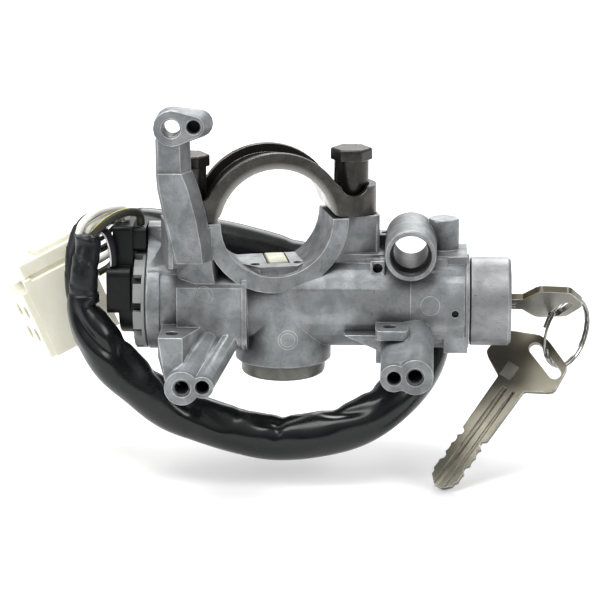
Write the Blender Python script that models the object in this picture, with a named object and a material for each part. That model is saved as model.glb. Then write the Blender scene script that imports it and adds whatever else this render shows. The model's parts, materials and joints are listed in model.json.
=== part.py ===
# Steering-column lock with its ignition switch, key, spare key and wiring harness.
# X runs along the lock cylinder, with the key at +X. Y runs away from the viewer, and Z is up.
# The origin is the centre of the steering column's bore, in the middle of the saddle's width.
import math

import bmesh
import bpy
from mathutils import Matrix, Vector

mm = 0.001
fit = 0.3 * mm

# Column clamp: a half-round saddle and a strap, turned a little about Z
columnRadius = 18.6 * mm
saddleWall = 5.3 * mm
saddleWidth = 22 * mm
clampTurn = math.radians(14)
boltGap = 8.4 * mm
padSide = 8.3 * mm
padHeight = 15 * mm
strapSheet = 2.4 * mm
strapWidth = 20 * mm
strapDrop = 1.5 * mm
flangeHeight = 5.2 * mm
earWall = 9.4 * mm
earDip = 5 * mm

# Shear bolts
hexAcrossFlats = 12 * mm
hexHeight = 4 * mm
collarBoltRadius = 5.7 * mm
collarBoltHeight = 14.6 * mm
shankRadius = 4 * mm
shankDepth = 12 * mm

# Lock barrel
lockY = 4 * mm
lockZ = -29.5 * mm
barrelRadius = 15.2 * mm
rimLeft = -40.6 * mm
rimWidth = 4.6 * mm
drumEnd = -24 * mm
blockEnd = -7.2 * mm
collarRadius = 15.5 * mm
collarStart = 46 * mm
collarEnd = 65.3 * mm
seamInset = 1.6 * mm
headRadius = 14.65 * mm
headLength = 13.4 * mm
caseRadius = 11 * mm
caseLeft = 36.4 * mm
plugRadius = 7.3 * mm
plugLeft = 39.2 * mm
shaftRadius = 3.2 * mm
couplingRadius = 5.5 * mm
couplingLeft = 10 * mm
camRadius = 4.4 * mm
camWidth = 6 * mm

# Lock bolt and its chamber
boltX = 1.5 * mm
boltTurn = math.radians(10)
boltWidth = 7 * mm
boltDepth = 14 * mm
boltRise = 3.4 * mm
boltTravel = 8 * mm
boltBridge = 2.2 * mm
chamberX = 3.8 * mm
chamberRadius = 15.9 * mm
chamberBore = 10.5 * mm
chamberFoot = -49.2 * mm
capRadius = 13.95 * mm
capDrop = 5 * mm
capWall = 1.6 * mm
springRadius = 5.6 * mm
springWire = 0.5 * mm
springTurns = 4
bossLugHeight = 3 * mm

# Screw bosses
tappedRadius = 2.65 * mm
locatingRadius = 2.1 * mm
bossFace = -34 * mm
bossDepth = 16.5 * mm
ridgeInset = 2.6 * mm
legRoot = -12 * mm
headFace = -24.5 * mm
headDepth = 7.5 * mm
tubeFace = -13 * mm
tubeLength = 28 * mm
tubeRadius = 8.5 * mm
tubeBore = 6.75 * mm
tubeStep = 7 * mm
tubeThrough = 5.7 * mm
postRadius = 5.05 * mm
postTop = -2.8 * mm

# Key, the same blank for both
bladeHalf = 5.2 * mm
bladeThickness = 2.2 * mm
grooveDepth = 0.45 * mm
bladeLength = 42.7 * mm
bowLength = 19.9 * mm
bowHalf = 13.8 * mm
cutPitch = 3.4 * mm
cutDepths = (1.1, 0.5, 1.3, 0.7, 1.0, 1.6)
slotRadius = 2.15 * mm
slotSpan = 11.3 * mm
keyTilt = math.radians(32)
keyTip = 40 * mm
ringRadius = 12 * mm
ringWire = 0.5 * mm
ringPitch = 1.15 * mm

# Wafers in the plug
waferCount = 6
waferPitch = 4 * mm
waferFirst = 44 * mm
waferThickness = 1.2 * mm
waferHalfLength = 6.4 * mm
waferHalfWidth = 2.5 * mm

# Ignition switch
switchLeft = -49.8 * mm
switchNeckRadius = 11.5 * mm
switchRadius = 13.9 * mm
clipWall = 2.7 * mm
spigotRadius = 12.4 * mm
spigotEnd = -33.6 * mm
rotorRadius = 9.2 * mm
tabCount = 11
tabAngle = math.radians(22)
tabLength = 3 * mm

# Harness
sleeveRadius = 7.6 * mm
tapeRadius = 4.7 * mm
tailRadius = 2.6 * mm
stripedWire = 1.5 * mm
thinWire = 1.2 * mm

# Sizes that follow from the others
boltOffset = columnRadius + boltGap
boltTop = boltRise - columnRadius
clipRadius = switchRadius + clipWall
rimRadius = clipRadius + 0.2 * mm
drumRadius = rimRadius - 0.6 * mm
clampTwist = Matrix.Rotation(clampTurn, 4, "Z")
lockAxis = Vector((0, lockY, lockZ))


# Building blocks

def clearScene():
    for item in list(bpy.data.objects):
        bpy.data.objects.remove(item)


def makeMaterial(name, colour, roughness, metallic):
    made = bpy.data.materials.new(name)
    made.use_nodes = True
    shader = made.node_tree.nodes["Principled BSDF"]
    shader.inputs["Base Color"].default_value = (*colour, 1)
    shader.inputs["Roughness"].default_value = roughness
    shader.inputs["Metallic"].default_value = metallic
    return made


def solid(name, shape):
    bmesh.ops.recalc_face_normals(shape, faces=shape.faces)
    mesh = bpy.data.meshes.new(name)
    shape.to_mesh(mesh)
    shape.free()
    item = bpy.data.objects.new(name, mesh)
    bpy.context.collection.objects.link(item)
    return item


def prism(outline, low, high, along="z"):
    order = {
        "x": lambda u, v, d: (d, u, v),
        "y": lambda u, v, d: (u, d, v),
        "z": lambda u, v, d: (u, v, d),
    }[along]
    shape = bmesh.new()
    base = shape.faces.new([shape.verts.new(order(u, v, low)) for u, v in outline])
    moved = bmesh.ops.extrude_face_region(shape, geom=[base])["geom"]
    shift = Vector(order(0, 0, high)) - Vector(order(0, 0, low))
    bmesh.ops.translate(shape, vec=shift, verts=[v for v in moved if isinstance(v, bmesh.types.BMVert)])
    return solid("prism", shape)


def box(x0, x1, y0, y1, z0, z1):
    return prism([(x0, y0), (x1, y0), (x1, y1), (x0, y1)], z0, z1)


def turned(profile, centre, along, sides=32, closed=False):
    """Turns a profile of (distance along, radius) about an axis through the centre."""
    turn = Vector(along).to_track_quat("Z", "X").to_matrix().to_4x4()
    place = Matrix.Translation(Vector(centre)) @ turn
    shape = bmesh.new()
    rings = []
    for distance, radius in profile:
        if radius == 0:
            rings.append([shape.verts.new(place @ Vector((0, 0, distance)))])
            continue
        rings.append([
            shape.verts.new(place @ Vector((
                radius * math.cos(math.tau * k / sides),
                radius * math.sin(math.tau * k / sides),
                distance,
            )))
            for k in range(sides)
        ])
    pairs = list(zip(rings, rings[1:]))
    if closed:
        pairs.append((rings[-1], rings[0]))
    for first, second in pairs:
        for k in range(sides):
            a = first[k % len(first)]
            b = first[(k + 1) % len(first)]
            c = second[(k + 1) % len(second)]
            d = second[k % len(second)]
            corners = list(dict.fromkeys((a, b, c, d)))
            if len(corners) > 2:
                shape.faces.new(corners)
    if not closed:
        for ring in (rings[0], rings[-1]):
            if len(ring) > 1:
                shape.faces.new(ring)
    return solid("turned", shape)


def rod(start, end, radius, sides=20):
    start = Vector(start)
    reach = Vector(end) - start
    return turned([(0, radius), (reach.length, radius)], start, reach, sides)


def hull(points):
    shape = bmesh.new()
    for point in points:
        shape.verts.new(point)
    made = bmesh.ops.convex_hull(shape, input=shape.verts)
    inside = list({item for item in made["geom_interior"] + made["geom_unused"] if item.is_valid})
    bmesh.ops.delete(shape, geom=[v for v in inside if isinstance(v, bmesh.types.BMVert)], context="VERTS")
    return solid("hull", shape)


def combined(base, pieces, operation):
    for piece in pieces:
        step = base.modifiers.new(operation, "BOOLEAN")
        step.operation = operation
        step.object = piece
        step.solver = "EXACT"
    graph = bpy.context.evaluated_depsgraph_get()
    mesh = bpy.data.meshes.new_from_object(base.evaluated_get(graph))
    base.modifiers.clear()
    base.data = mesh
    for piece in pieces:
        bpy.data.objects.remove(piece)
    return base


def joined(base, *pieces):
    return combined(base, pieces, "UNION")


def carved(base, *pieces):
    return combined(base, pieces, "DIFFERENCE")


def moved(item, matrix):
    item.data.transform(matrix)
    return item


def arc(centre, radius, start, end, steps):
    """Points of an arc from one angle to another, in degrees."""
    turns = [math.radians(start + (end - start) * k / steps) for k in range(steps + 1)]
    return [(centre[0] + radius * math.cos(a), centre[1] + radius * math.sin(a)) for a in turns]


def rounded(corners, radius, steps=4):
    """An outline with each of its corners turned into an arc."""
    outline = []
    count = len(corners)
    for k in range(count):
        before, corner, after = (Vector(corners[(k + j) % count]) for j in (-1, 0, 1))
        inward = (before - corner).normalized()
        outward = (after - corner).normalized()
        half = inward.angle(outward) / 2
        reach = radius / math.tan(half)
        middle = corner + (inward + outward).normalized() * radius / math.sin(half)
        first = corner + inward * reach - middle
        turn = first.angle_signed(corner + outward * reach - middle)
        for j in range(steps + 1):
            outline.append(tuple(middle + Matrix.Rotation(-turn * j / steps, 2) @ first))
    return outline


def cable(name, points, radius, resolution=2):
    """A round tube along a smooth curve through the points."""
    curve = bpy.data.curves.new(name, "CURVE")
    curve.dimensions = "3D"
    curve.bevel_depth = radius
    curve.bevel_resolution = resolution
    curve.use_fill_caps = True
    line = curve.splines.new("POLY")
    line.points.add(len(points) - 1)
    for spot, point in zip(line.points, points):
        spot.co = (*point, 1)
    item = bpy.data.objects.new(name, curve)
    bpy.context.collection.objects.link(item)
    return item


def smoothRoute(points, spacing):
    """A centripetal curve through the route's points, read about every spacing."""
    route = [Vector(p) * mm for p in points]
    route = [2 * route[0] - route[1], *route, 2 * route[-1] - route[-2]]
    read = []
    for a, b, c, d in zip(route, route[1:], route[2:], route[3:]):
        t1 = math.sqrt((b - a).length)
        t2 = t1 + math.sqrt((c - b).length)
        t3 = t2 + math.sqrt((d - c).length)
        steps = max(1, round((c - b).length / spacing))
        for k in range(steps):
            t = t1 + (t2 - t1) * k / steps
            ab = a.lerp(b, t / t1)
            bc = b.lerp(c, (t - t1) / (t2 - t1))
            cd = c.lerp(d, (t - t2) / (t3 - t2))
            abc = ab.lerp(bc, t / t2)
            bcd = bc.lerp(cd, (t - t1) / (t3 - t1))
            read.append(abc.lerp(bcd, (t - t1) / (t2 - t1)))
    return [*read, route[-2]]


def finish(item, name, material, pivot=None, smoothAngle=35):
    item.name = name
    item.data.name = name
    item.data.materials.clear()
    item.data.materials.append(material)
    if item.type == "MESH":
        item.data.shade_smooth()
        item.data.set_sharp_from_angle(angle=math.radians(smoothAngle))
    if pivot:
        item.data.transform(pivot.matrix_world.inverted())
        item.parent = pivot
    return item


def pivotAt(name, place, parent=None):
    empty = bpy.data.objects.new(name, None)
    bpy.context.collection.objects.link(empty)
    empty.parent = parent
    empty.location = Vector(place) - (parent.matrix_world.translation if parent else Vector())
    bpy.context.view_layer.update()
    return empty


# Housing, one die casting

def lockTurned(profile, sides=40):
    return turned(profile, lockAxis, (1, 0, 0), sides)


def barrel():
    seam = collarEnd - seamInset
    body = lockTurned([
        (rimLeft + rimWidth, barrelRadius), (collarStart, barrelRadius), (collarStart, collarRadius),
        (seam, collarRadius), (seam, collarRadius - 0.4 * mm), (seam + 0.5 * mm, collarRadius - 0.4 * mm),
        (seam + 0.5 * mm, collarRadius), (collarEnd, collarRadius),
    ])
    drum = lockTurned([
        (rimLeft, rimRadius - 0.5 * mm), (rimLeft + 0.5 * mm, rimRadius), (rimLeft + rimWidth, rimRadius),
        (rimLeft + rimWidth, drumRadius), (drumEnd, drumRadius),
    ])
    return joined(body, drum)


def switchLobe():
    """The raised lobe over the drum, with a sloping flat and a round top."""
    crown = (lockY - 0.4 * mm, lockZ + 21.8 * mm)
    outline = [
        (lockY - 12.2 * mm, lockZ + 11 * mm), (lockY - 12.2 * mm, lockZ + 12.5 * mm),
        (lockY - 5.2 * mm, lockZ + 19.6 * mm),
        *arc(crown, 4.4 * mm, 165, 10, 8),
        (lockY + 12 * mm, lockZ + 12 * mm), (lockY + 8 * mm, lockZ), (lockY - 8 * mm, lockZ),
    ]
    return prism(outline, rimLeft + 0.3 * mm, drumEnd - 2 * mm, "x")


def switchBlock():
    """The squarer block beside the drum, with a raised rim at its right-hand end."""
    def section(grow):
        corners = [
            (lockY - 18.8 * mm - grow, lockZ + 9 * mm + grow), (lockY - 12 * mm, lockZ + 13 * mm + grow),
            (lockY + 9 * mm, lockZ + 13 * mm + grow), (lockY + 13 * mm + grow, lockZ + 6 * mm),
            (lockY + 13 * mm + grow, lockZ - 8 * mm), (lockY + 4 * mm, lockZ - 15.4 * mm - grow),
            (lockY - 9 * mm, lockZ - 15.2 * mm - grow), (lockY - 18.8 * mm - grow, lockZ - 11 * mm),
        ]
        return rounded(corners, 1.6 * mm, 3)
    plain = prism(section(0), drumEnd - 6 * mm, blockEnd - 0.6 * mm, "x")
    rim = prism(section(0.45 * mm), blockEnd - 1.5 * mm, blockEnd, "x")
    return joined(plain, rim)


def boltChamber():
    top = lockZ - chamberFoot
    return turned([
        (0, chamberRadius - 0.4 * mm), (0.4 * mm, chamberRadius), (4 * mm, chamberRadius),
        (5.5 * mm, chamberRadius - 0.6 * mm), (top, chamberRadius - 0.6 * mm),
    ], (chamberX, lockY, chamberFoot), (0, 0, 1), 40)


def saddle():
    outer = columnRadius + saddleWall
    ring = prism(arc((0, 0), outer, 180, 360, 22), -saddleWidth / 2, saddleWidth / 2, "y")
    pads = []
    for side in (-1, 1):
        middle = side * (boltOffset + padSide / 2 - 4 * mm)
        half = padSide / 2 + 4 * mm
        corners = [
            (middle - half, -padSide + 0.8 * mm), (middle + half, -padSide + 0.8 * mm),
            (middle + half, padSide), (middle - half, padSide),
        ]
        pads.append(prism(rounded(corners, 1.5 * mm, 3), -padHeight, -fit / 2))
    return moved(joined(ring, *pads), clampTwist)


def columnBore():
    return moved(rod((0, -60 * mm, 0), (0, 60 * mm, 0), columnRadius, 44), clampTwist)


def boltLug():
    """The raised guide that the lock bolt comes up through, inside the saddle."""
    top = -columnRadius + bossLugHeight
    left, right = boltX - 11.5 * mm, boltX + 11 * mm
    front, back = -8 * mm, saddleWidth / 2
    corners = [
        (left + 5 * mm, front), (right - 5 * mm, front), (right, front + 6 * mm),
        (right, back), (left, back), (left, front + 6 * mm),
    ]
    lug = prism(corners, top - 8 * mm, top)
    dimples = [
        rod((x, front + 4.5 * mm, top - 2 * mm), (x, front + 4.5 * mm, top + 1 * mm), 1.7 * mm, 16)
        for x in (left + 4 * mm, right - 4 * mm)
    ]
    return moved(carved(lug, *dimples), clampTwist)


def ring2d(centre, radius, y, sides=16):
    return [(x, y, z) for x, z in arc(centre, radius, 0, 360 - 360 / sides, sides - 1)]


def arm():
    """The tall arm in front of the left-hand clamp bolt, with the two-hole boss as its head."""
    # the places across are counted from the bolt
    upper, lower, behind = -22 * mm, -22.9 * mm, -16.8 * mm
    sections = (
        (29 * mm, -8.6 * mm, -0.5 * mm, upper),
        (18 * mm, -8.5 * mm, -0.1 * mm, upper),
        (18 * mm, -8.5 * mm, 0.1 * mm, lower),
        (12.6 * mm, -8.1 * mm, 2.2 * mm, lower),
        (3.4 * mm, -6.1 * mm, 4.5 * mm, lower),
        (-5.9 * mm, -4.1 * mm, 6.2 * mm, lower),
        (-11.4 * mm, -2.7 * mm, 6.7 * mm, lower),
    )

    def corners(z, left, right, front):
        return [
            (left, front + 0.8 * mm, z), (left + 0.8 * mm, front, z), (right - 0.4 * mm, front, z),
            (right + 2.6 * mm, behind, z), (left, behind, z),
        ]
    pieces = [
        hull(corners(*a) + corners(*b)) for a, b in zip(sections, sections[1:]) if a[0] != b[0]
    ]
    web = hull([
        (x * mm, y * mm, z * mm) for x, y, z in (
            (-4.2, -17.4, -0.8), (8.2, -17.4, -0.8), (-4.2, -8, -0.8), (10, -8, -0.8),
            (-2.4, -19.6, -11.6), (8.4, -18.6, -11.6), (-2.4, -8, -13.5), (10, -8, -13.5),
        )
    ])
    foot = hull([
        (x * mm, y * mm, z * mm) for x, y, z in (
            (2.6, -19.8, -11), (8.6, -18.4, -11), (-3, -13, -11), (10, -12.5, -11),
            (3.6, -16, -17), (9.2, -15.6, -17), (-3, -10.5, -20.5), (10.2, -11, -20.5),
            (3, -13.2, -21.5), (9.6, -13.2, -21.5), (-3, 6, -12), (10, 6, -12), (-3, 4, -20), (10, 4, -20),
        )
    ])
    big, small = headCentres()
    front = ring2d(big, 5.8 * mm, headFace) + ring2d(small, 3.4 * mm, headFace)
    rear = ring2d(big, 5.9 * mm, headFace + headDepth)
    rear += ring2d((small[0] + 1.2 * mm, small[1]), 4.6 * mm, headFace + headDepth)
    stand = moved(joined(*pieces, web, foot), Matrix.Translation((-boltOffset, 0, 0)))
    return joined(hull(front + rear), stand)


def headCentres():
    return (-boltOffset - 3.2 * mm, 33.0 * mm), (-boltOffset + 3.9 * mm, 33.5 * mm)


def bossPair(big, bigRadius, small, smallRadius):
    """The two screw bosses of a leg, straight behind its face."""
    return [
        rod((x, bossFace, z), (x, bossFace + bossDepth, z), radius, 24)
        for (x, z), radius in ((big, bigRadius), (small, smallRadius))
    ]


def ridge(front, frontRadius, rear, rearRadius):
    """A rounded rib from behind a boss's rim up to the body."""
    start = ring2d(front, frontRadius, bossFace + ridgeInset, 20)
    return start + ring2d(rear, rearRadius, legRoot, 20) + ring2d(rear, rearRadius, legRoot + 7 * mm, 20)


def leftBosses():
    return (-27.0 * mm, -49.8 * mm), (-20.3 * mm, -49.4 * mm)


def rightBosses():
    return (47.9 * mm, -45.2 * mm), (41.1 * mm, -45.6 * mm)


def leftLeg():
    big, small = leftBosses()
    web = hull([
        (x * mm, y * mm, z * mm) for x, y, z in (
            (-34.9, -28.5, -34.6), (-27, -28.5, -34.6), (-34.9, -28.5, -41), (-32.5, -29, -50), (-27, -29, -50),
            (-34.9, -8, -34.6), (-20, -8, -34.6), (-34.9, -8, -43.5), (-20, -8, -43.5),
        )
    ])
    return joined(
        hull(ridge(big, 5.6 * mm, (-20.2 * mm, -40.1 * mm), 5.6 * mm)),
        hull(ridge(small, 3.6 * mm, (-12.4 * mm, -38.8 * mm), 3.3 * mm)),
        web, *bossPair(big, 5.6 * mm, small, 3.6 * mm),
    )


def rightLeg():
    big, small = rightBosses()
    leg = hull(
        ridge(big, 5.8 * mm, (47.9 * mm, -38.1 * mm), 5.8 * mm)
        + ridge(small, 4.5 * mm, (41.1 * mm, -38.6 * mm), 4.5 * mm)
    )
    lug = prism(rounded([(m * mm, n * mm) for m, n in ((34.8, -22), (45.5, -22), (45.5, -6), (34.8, -6))],
                        2.2 * mm, 4), -36.4 * mm, -33.3 * mm)
    rib = prism([(24.4 * mm, -36.9 * mm), (37 * mm, -36.9 * mm), (37 * mm, -42.6 * mm)],
                -14 * mm, -3 * mm, "y")
    nub = box(34.9 * mm, 38 * mm, -12 * mm, -6 * mm, -46.8 * mm, -41 * mm)
    return joined(leg, lug, rib, nub, *bossPair(big, 5.8 * mm, small, 4.5 * mm))


def tubeBoss():
    centre = (collarStart, 0, -10.5 * mm)
    boss = turned([
        (tubeFace, tubeRadius - 0.4 * mm), (tubeFace + 0.4 * mm, tubeRadius), (tubeFace + tubeLength, tubeRadius),
    ], centre, (0, 1, 0), 32)
    web = box(36 * mm, 58 * mm, -4 * mm, 8 * mm, -22 * mm, -13.4 * mm)
    return joined(boss, web)


def tubeBossBore():
    return turned([
        (tubeFace - 1 * mm, tubeBore), (tubeFace + tubeStep, tubeBore), (tubeFace + tubeStep, tubeThrough),
        (tubeFace + tubeLength + 1 * mm, tubeThrough),
    ], (collarStart, 0, -10.5 * mm), (0, 1, 0), 24)


def topLugs():
    """The post, its flat, the ledge under the right-hand pad and the small lugs beside it."""
    flat = box(54.2 * mm, 64.6 * mm, -2.6 * mm, 16 * mm, -24 * mm, -13 * mm)
    post = turned([
        (-20 * mm, postRadius), (postTop - 0.5 * mm, postRadius), (postTop, postRadius - 0.5 * mm),
    ], (56.8 * mm, 10 * mm, 0), (0, 0, 1), 24)
    ledge = box(20 * mm, 37.3 * mm, -2 * mm, 14 * mm, -20 * mm, -12.6 * mm)
    frontLug = box(33 * mm, 37.5 * mm, -6.6 * mm, 0, -20 * mm, -13.8 * mm)
    rearLug = box(35.4 * mm, 39.6 * mm, 9 * mm, 17 * mm, -19 * mm, -8.6 * mm)
    tab = box(57.1 * mm, 64.9 * mm, -8 * mm, 0, -44.2 * mm, -36 * mm)
    return joined(flat, post, ledge, frontLug, rearLug, tab)


def screwHoles():
    """Every blind or through hole for a screw or a locating pin."""
    holes = []
    for big, small in (leftBosses(), rightBosses()):
        for (x, z), radius, depth in ((big, tappedRadius, 14 * mm), (small, locatingRadius, 8 * mm)):
            holes.append(turned([
                (-0.5 * mm, radius + 0.4 * mm), (0, radius + 0.4 * mm), (0.5 * mm, radius), (depth, radius),
                (depth + radius * 0.5, 0),
            ], (x, bossFace, z), (0, 1, 0), 16))
    big, small = headCentres()
    holes.append(turned([
        (-0.5 * mm, 3.2 * mm), (1.2 * mm, 3.2 * mm), (1.2 * mm, 2.7 * mm), (headDepth + 1 * mm, 2.7 * mm),
    ], (big[0], headFace, big[1]), (0, 1, 0), 16))
    holes.append(turned([
        (-0.5 * mm, 2.5 * mm), (0, 2.5 * mm), (0.4 * mm, locatingRadius), (6 * mm, locatingRadius),
    ], (small[0], headFace, small[1]), (0, 1, 0), 16))
    for x, y, low, high in ((-30.9, -22.5, -52, -33), (39.4, -15.7, -40, -32)):
        holes.append(rod((x * mm, y * mm, low * mm), (x * mm, y * mm, high * mm), 2.3 * mm, 20))
    holes.append(rod((35.3 * mm, -7 * mm, -16.2 * mm), (35.3 * mm, -2.6 * mm, -16.2 * mm), 1.7 * mm, 16))
    holes.append(rod((37.5 * mm, 13 * mm, -13 * mm), (37.5 * mm, 13 * mm, -8 * mm), 1.3 * mm, 16))
    return holes


def pinPlace():
    return Vector((60.6 * mm, lockY, lockZ - 0.6 * mm))


def innerBores():
    """The bores for the cylinder, the cam shaft, the switch, the lock bolt and the clamp bolts."""
    bores = [
        boltPrism(fit, lockZ, boltTop + 8 * mm),
        lockTurned([(caseLeft - 0.7 * mm, caseRadius + fit), (collarEnd + 1 * mm, caseRadius + fit)]),
        lockTurned([(couplingLeft - fit, couplingRadius + fit), (caseLeft, couplingRadius + fit)], 32),
        lockTurned([(rimLeft, camRadius + 0.4 * mm), (couplingLeft, camRadius + 0.4 * mm)], 32),
        lockTurned([(rimLeft - 1 * mm, clipRadius - 1.2 * mm), (rimLeft + rimWidth, clipRadius - 1.2 * mm)]),
        lockTurned([(rimLeft, spigotRadius + fit), (spigotEnd + fit, spigotRadius + fit)]),
        turned([
            (-1 * mm, capRadius + fit), (2 * mm, capRadius + fit), (2 * mm, chamberBore),
            (lockZ + 4.9 * mm - chamberFoot, chamberBore),
        ], (chamberX, lockY, chamberFoot), (0, 0, 1), 32),
    ]
    for side in (-1, 1):
        place = clampTwist @ Vector((side * boltOffset, 0, 0))
        foot = place + Vector((0, 0, -shankDepth - fit))
        bores.append(rod(foot, place + Vector((0, 0, 2 * mm)), shankRadius + fit, 24))
    pin = pinPlace()
    bores.append(rod(pin + Vector((0, -caseRadius + 1.6 * mm, 0)), pin + Vector((0, -20 * mm, 0)), 1.2 * mm, 16))
    return bores


def housing():
    body = joined(
        barrel(), switchLobe(), switchBlock(), boltChamber(), saddle(), arm(), leftLeg(), rightLeg(),
        tubeBoss(), topLugs(),
    )
    body = carved(body, columnBore())
    body = joined(body, boltLug())
    return carved(body, *innerBores(), tubeBossBore(), *screwHoles())


# Clamp

def strap():
    """Pressed channel: a curved band with turned-up edges that run on round its two ears."""
    reach = boltOffset + padSide
    half = strapWidth / 2
    inner = columnRadius
    outer = columnRadius + flangeHeight
    low = fit / 2

    def side(radius, level, blend):
        """The right-hand line of the band, from its top down to the ear, with a blended corner."""
        drop = level + blend + strapDrop
        span = radius + blend
        lean = math.degrees(math.asin(drop / span))
        corner = (span * math.cos(math.radians(lean)), level + blend)
        return arc((0, -strapDrop), radius, 90, lean, 10) + arc(corner, blend, 180 + lean, 270, 4)

    def mirrored(line):
        return [(-x, z) for x, z in reversed(line)]

    under = side(inner, low, 5 * mm)
    over = side(outer, low + earWall, 6 * mm)
    body = [(-reach, low), *mirrored(under), *under[1:], (reach, low), (reach, low + earWall)]
    body += [*reversed(over), *mirrored(over)[::-1][1:], (-reach, low + earWall)]
    band = prism(body, -half, half, "y")
    ends = []
    for turn in (-1, 1):
        block = prism([
            (turn * reach * 2, -half * 2), (turn * reach * 2, half * 2),
            *[(turn * x, y) for x, y in arc((reach - half, 0), half, 90, -90, 10)],
        ][:: turn], low - 5 * mm, low + 20 * mm)
        ends.append(carved(block, box(-reach * 0.2, reach * 0.2, -half, half, -1 * mm, 1 * mm)))
    floor = side(inner + strapSheet, low + strapSheet, 1.4 * mm)
    wall = reach - strapSheet
    top = outer + 4 * mm
    channel = [(-wall, low + strapSheet), *mirrored(floor), *floor[1:], (wall, low + strapSheet),
               (wall, low + earWall + 2 * mm), (wall, top), (-wall, top), (-wall, low + earWall + 2 * mm)]
    hollow = prism(channel, -half + strapSheet, half - strapSheet, "y")
    trims = []
    for turn in (-1, 1):
        inside = arc((reach - half, 0), half - strapSheet, 90, -90, 10)
        trims.append([(turn * x, y) for x, y in inside])
    keep = prism([*trims[1], *trims[0][::-1]], low - 4 * mm, top + 2 * mm)
    hollow = combined(hollow, [keep], "INTERSECT")
    holes = [
        rod((turn * boltOffset, 0, -1 * mm), (turn * boltOffset, 0, low + strapSheet + 1 * mm), shankRadius + fit)
        for turn in (-1, 1)
    ]
    dips = [
        rod((x, -half * 2, low + earWall + 2.3 * mm), (x, half * 2, low + earWall + 2.3 * mm), earDip)
        for x in (-boltOffset + 0.8 * mm, boltOffset - 0.8 * mm)
    ]
    return moved(carved(band, *ends, hollow, *holes, *dips), clampTwist)


def shearBolt(side):
    place = clampTwist @ Vector((side * boltOffset, 0, 0))
    seat = fit / 2 + strapSheet + fit
    top = seat + collarBoltHeight
    body = turned([
        (-shankDepth, shankRadius - 0.6 * mm), (-shankDepth + 0.6 * mm, shankRadius), (seat, shankRadius),
        (seat, collarBoltRadius - 0.3 * mm), (seat + 0.3 * mm, collarBoltRadius),
        (top + 0.5 * mm, collarBoltRadius),
    ], place, (0, 0, 1), 32)
    across = hexAcrossFlats / 2 / math.cos(math.pi / 6)
    hexagon = turned([
        (top, across), (top + hexHeight - 0.5 * mm, across), (top + hexHeight, across - 0.7 * mm),
    ], place, (0, 0, 1), 6)
    return joined(body, hexagon)


# Lock cylinder

def keyFrame(item):
    """Turns a piece laid in the key's plane, X along it and Y across, to the keyway's tilt."""
    turn = Matrix.Rotation(-keyTilt, 4, "X")
    return moved(item, Matrix.Translation(lockAxis) @ turn)


def cylinderCase():
    right = collarEnd + fit + headLength
    body = turned([
        (caseLeft, plugRadius + fit), (caseLeft, caseRadius), (collarEnd + fit, caseRadius),
        (collarEnd + fit, headRadius - 0.4 * mm), (collarEnd + fit + 0.4 * mm, headRadius),
        (right - 1 * mm, headRadius), (right, headRadius - 1 * mm), (right, plugRadius + 3 * mm),
        (right - 0.8 * mm, plugRadius + 2.4 * mm), (right - 0.8 * mm, plugRadius + fit),
    ], lockAxis, (1, 0, 0), 36, closed=True)
    pin = pinPlace()
    hole = rod(pin + Vector((0, -caseRadius + 1.6 * mm, 0)), pin + Vector((0, -20 * mm, 0)), 1.2 * mm, 16)
    return carved(body, hole)


def keyway(half, thick, start, end):
    return keyFrame(box(start, end, -half, half, -thick, thick))


def lockPlug():
    right = collarEnd + fit + headLength - 0.8 * mm
    body = turned([
        (plugLeft - 2.4 * mm, 0), (plugLeft - 2.4 * mm, couplingRadius - 1 * mm),
        (plugLeft, couplingRadius - 1 * mm), (plugLeft, plugRadius), (right, plugRadius), (right, 0),
    ], lockAxis, (1, 0, 0), 32)
    tongue = keyFrame(box(plugLeft - 5 * mm, plugLeft - 2 * mm, -3.6 * mm, 3.6 * mm, -1.2 * mm, 1.2 * mm))
    slots = [
        keyFrame(box(
            waferFirst + k * waferPitch - waferThickness / 2 - fit,
            waferFirst + k * waferPitch + waferThickness / 2 + fit,
            -plugRadius * 2, plugRadius * 2, -waferHalfWidth - fit, waferHalfWidth + fit,
        ))
        for k in range(waferCount)
    ]
    way = keyway(bladeHalf + fit, bladeThickness / 2 + fit, keyTip - fit, right + 1 * mm)
    return carved(joined(body, tongue), way, *slots)


def wafer(number):
    middle = waferFirst + number * waferPitch
    half = waferThickness / 2
    plate = box(middle - half, middle + half, -waferHalfLength, waferHalfLength, -waferHalfWidth, waferHalfWidth)
    window = box(
        middle - 2 * half, middle + 2 * half, -bladeHalf - fit, bladeHalf + fit,
        -bladeThickness / 2 - fit, bladeThickness / 2 + fit,
    )
    return keyFrame(carved(plate, window))


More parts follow.
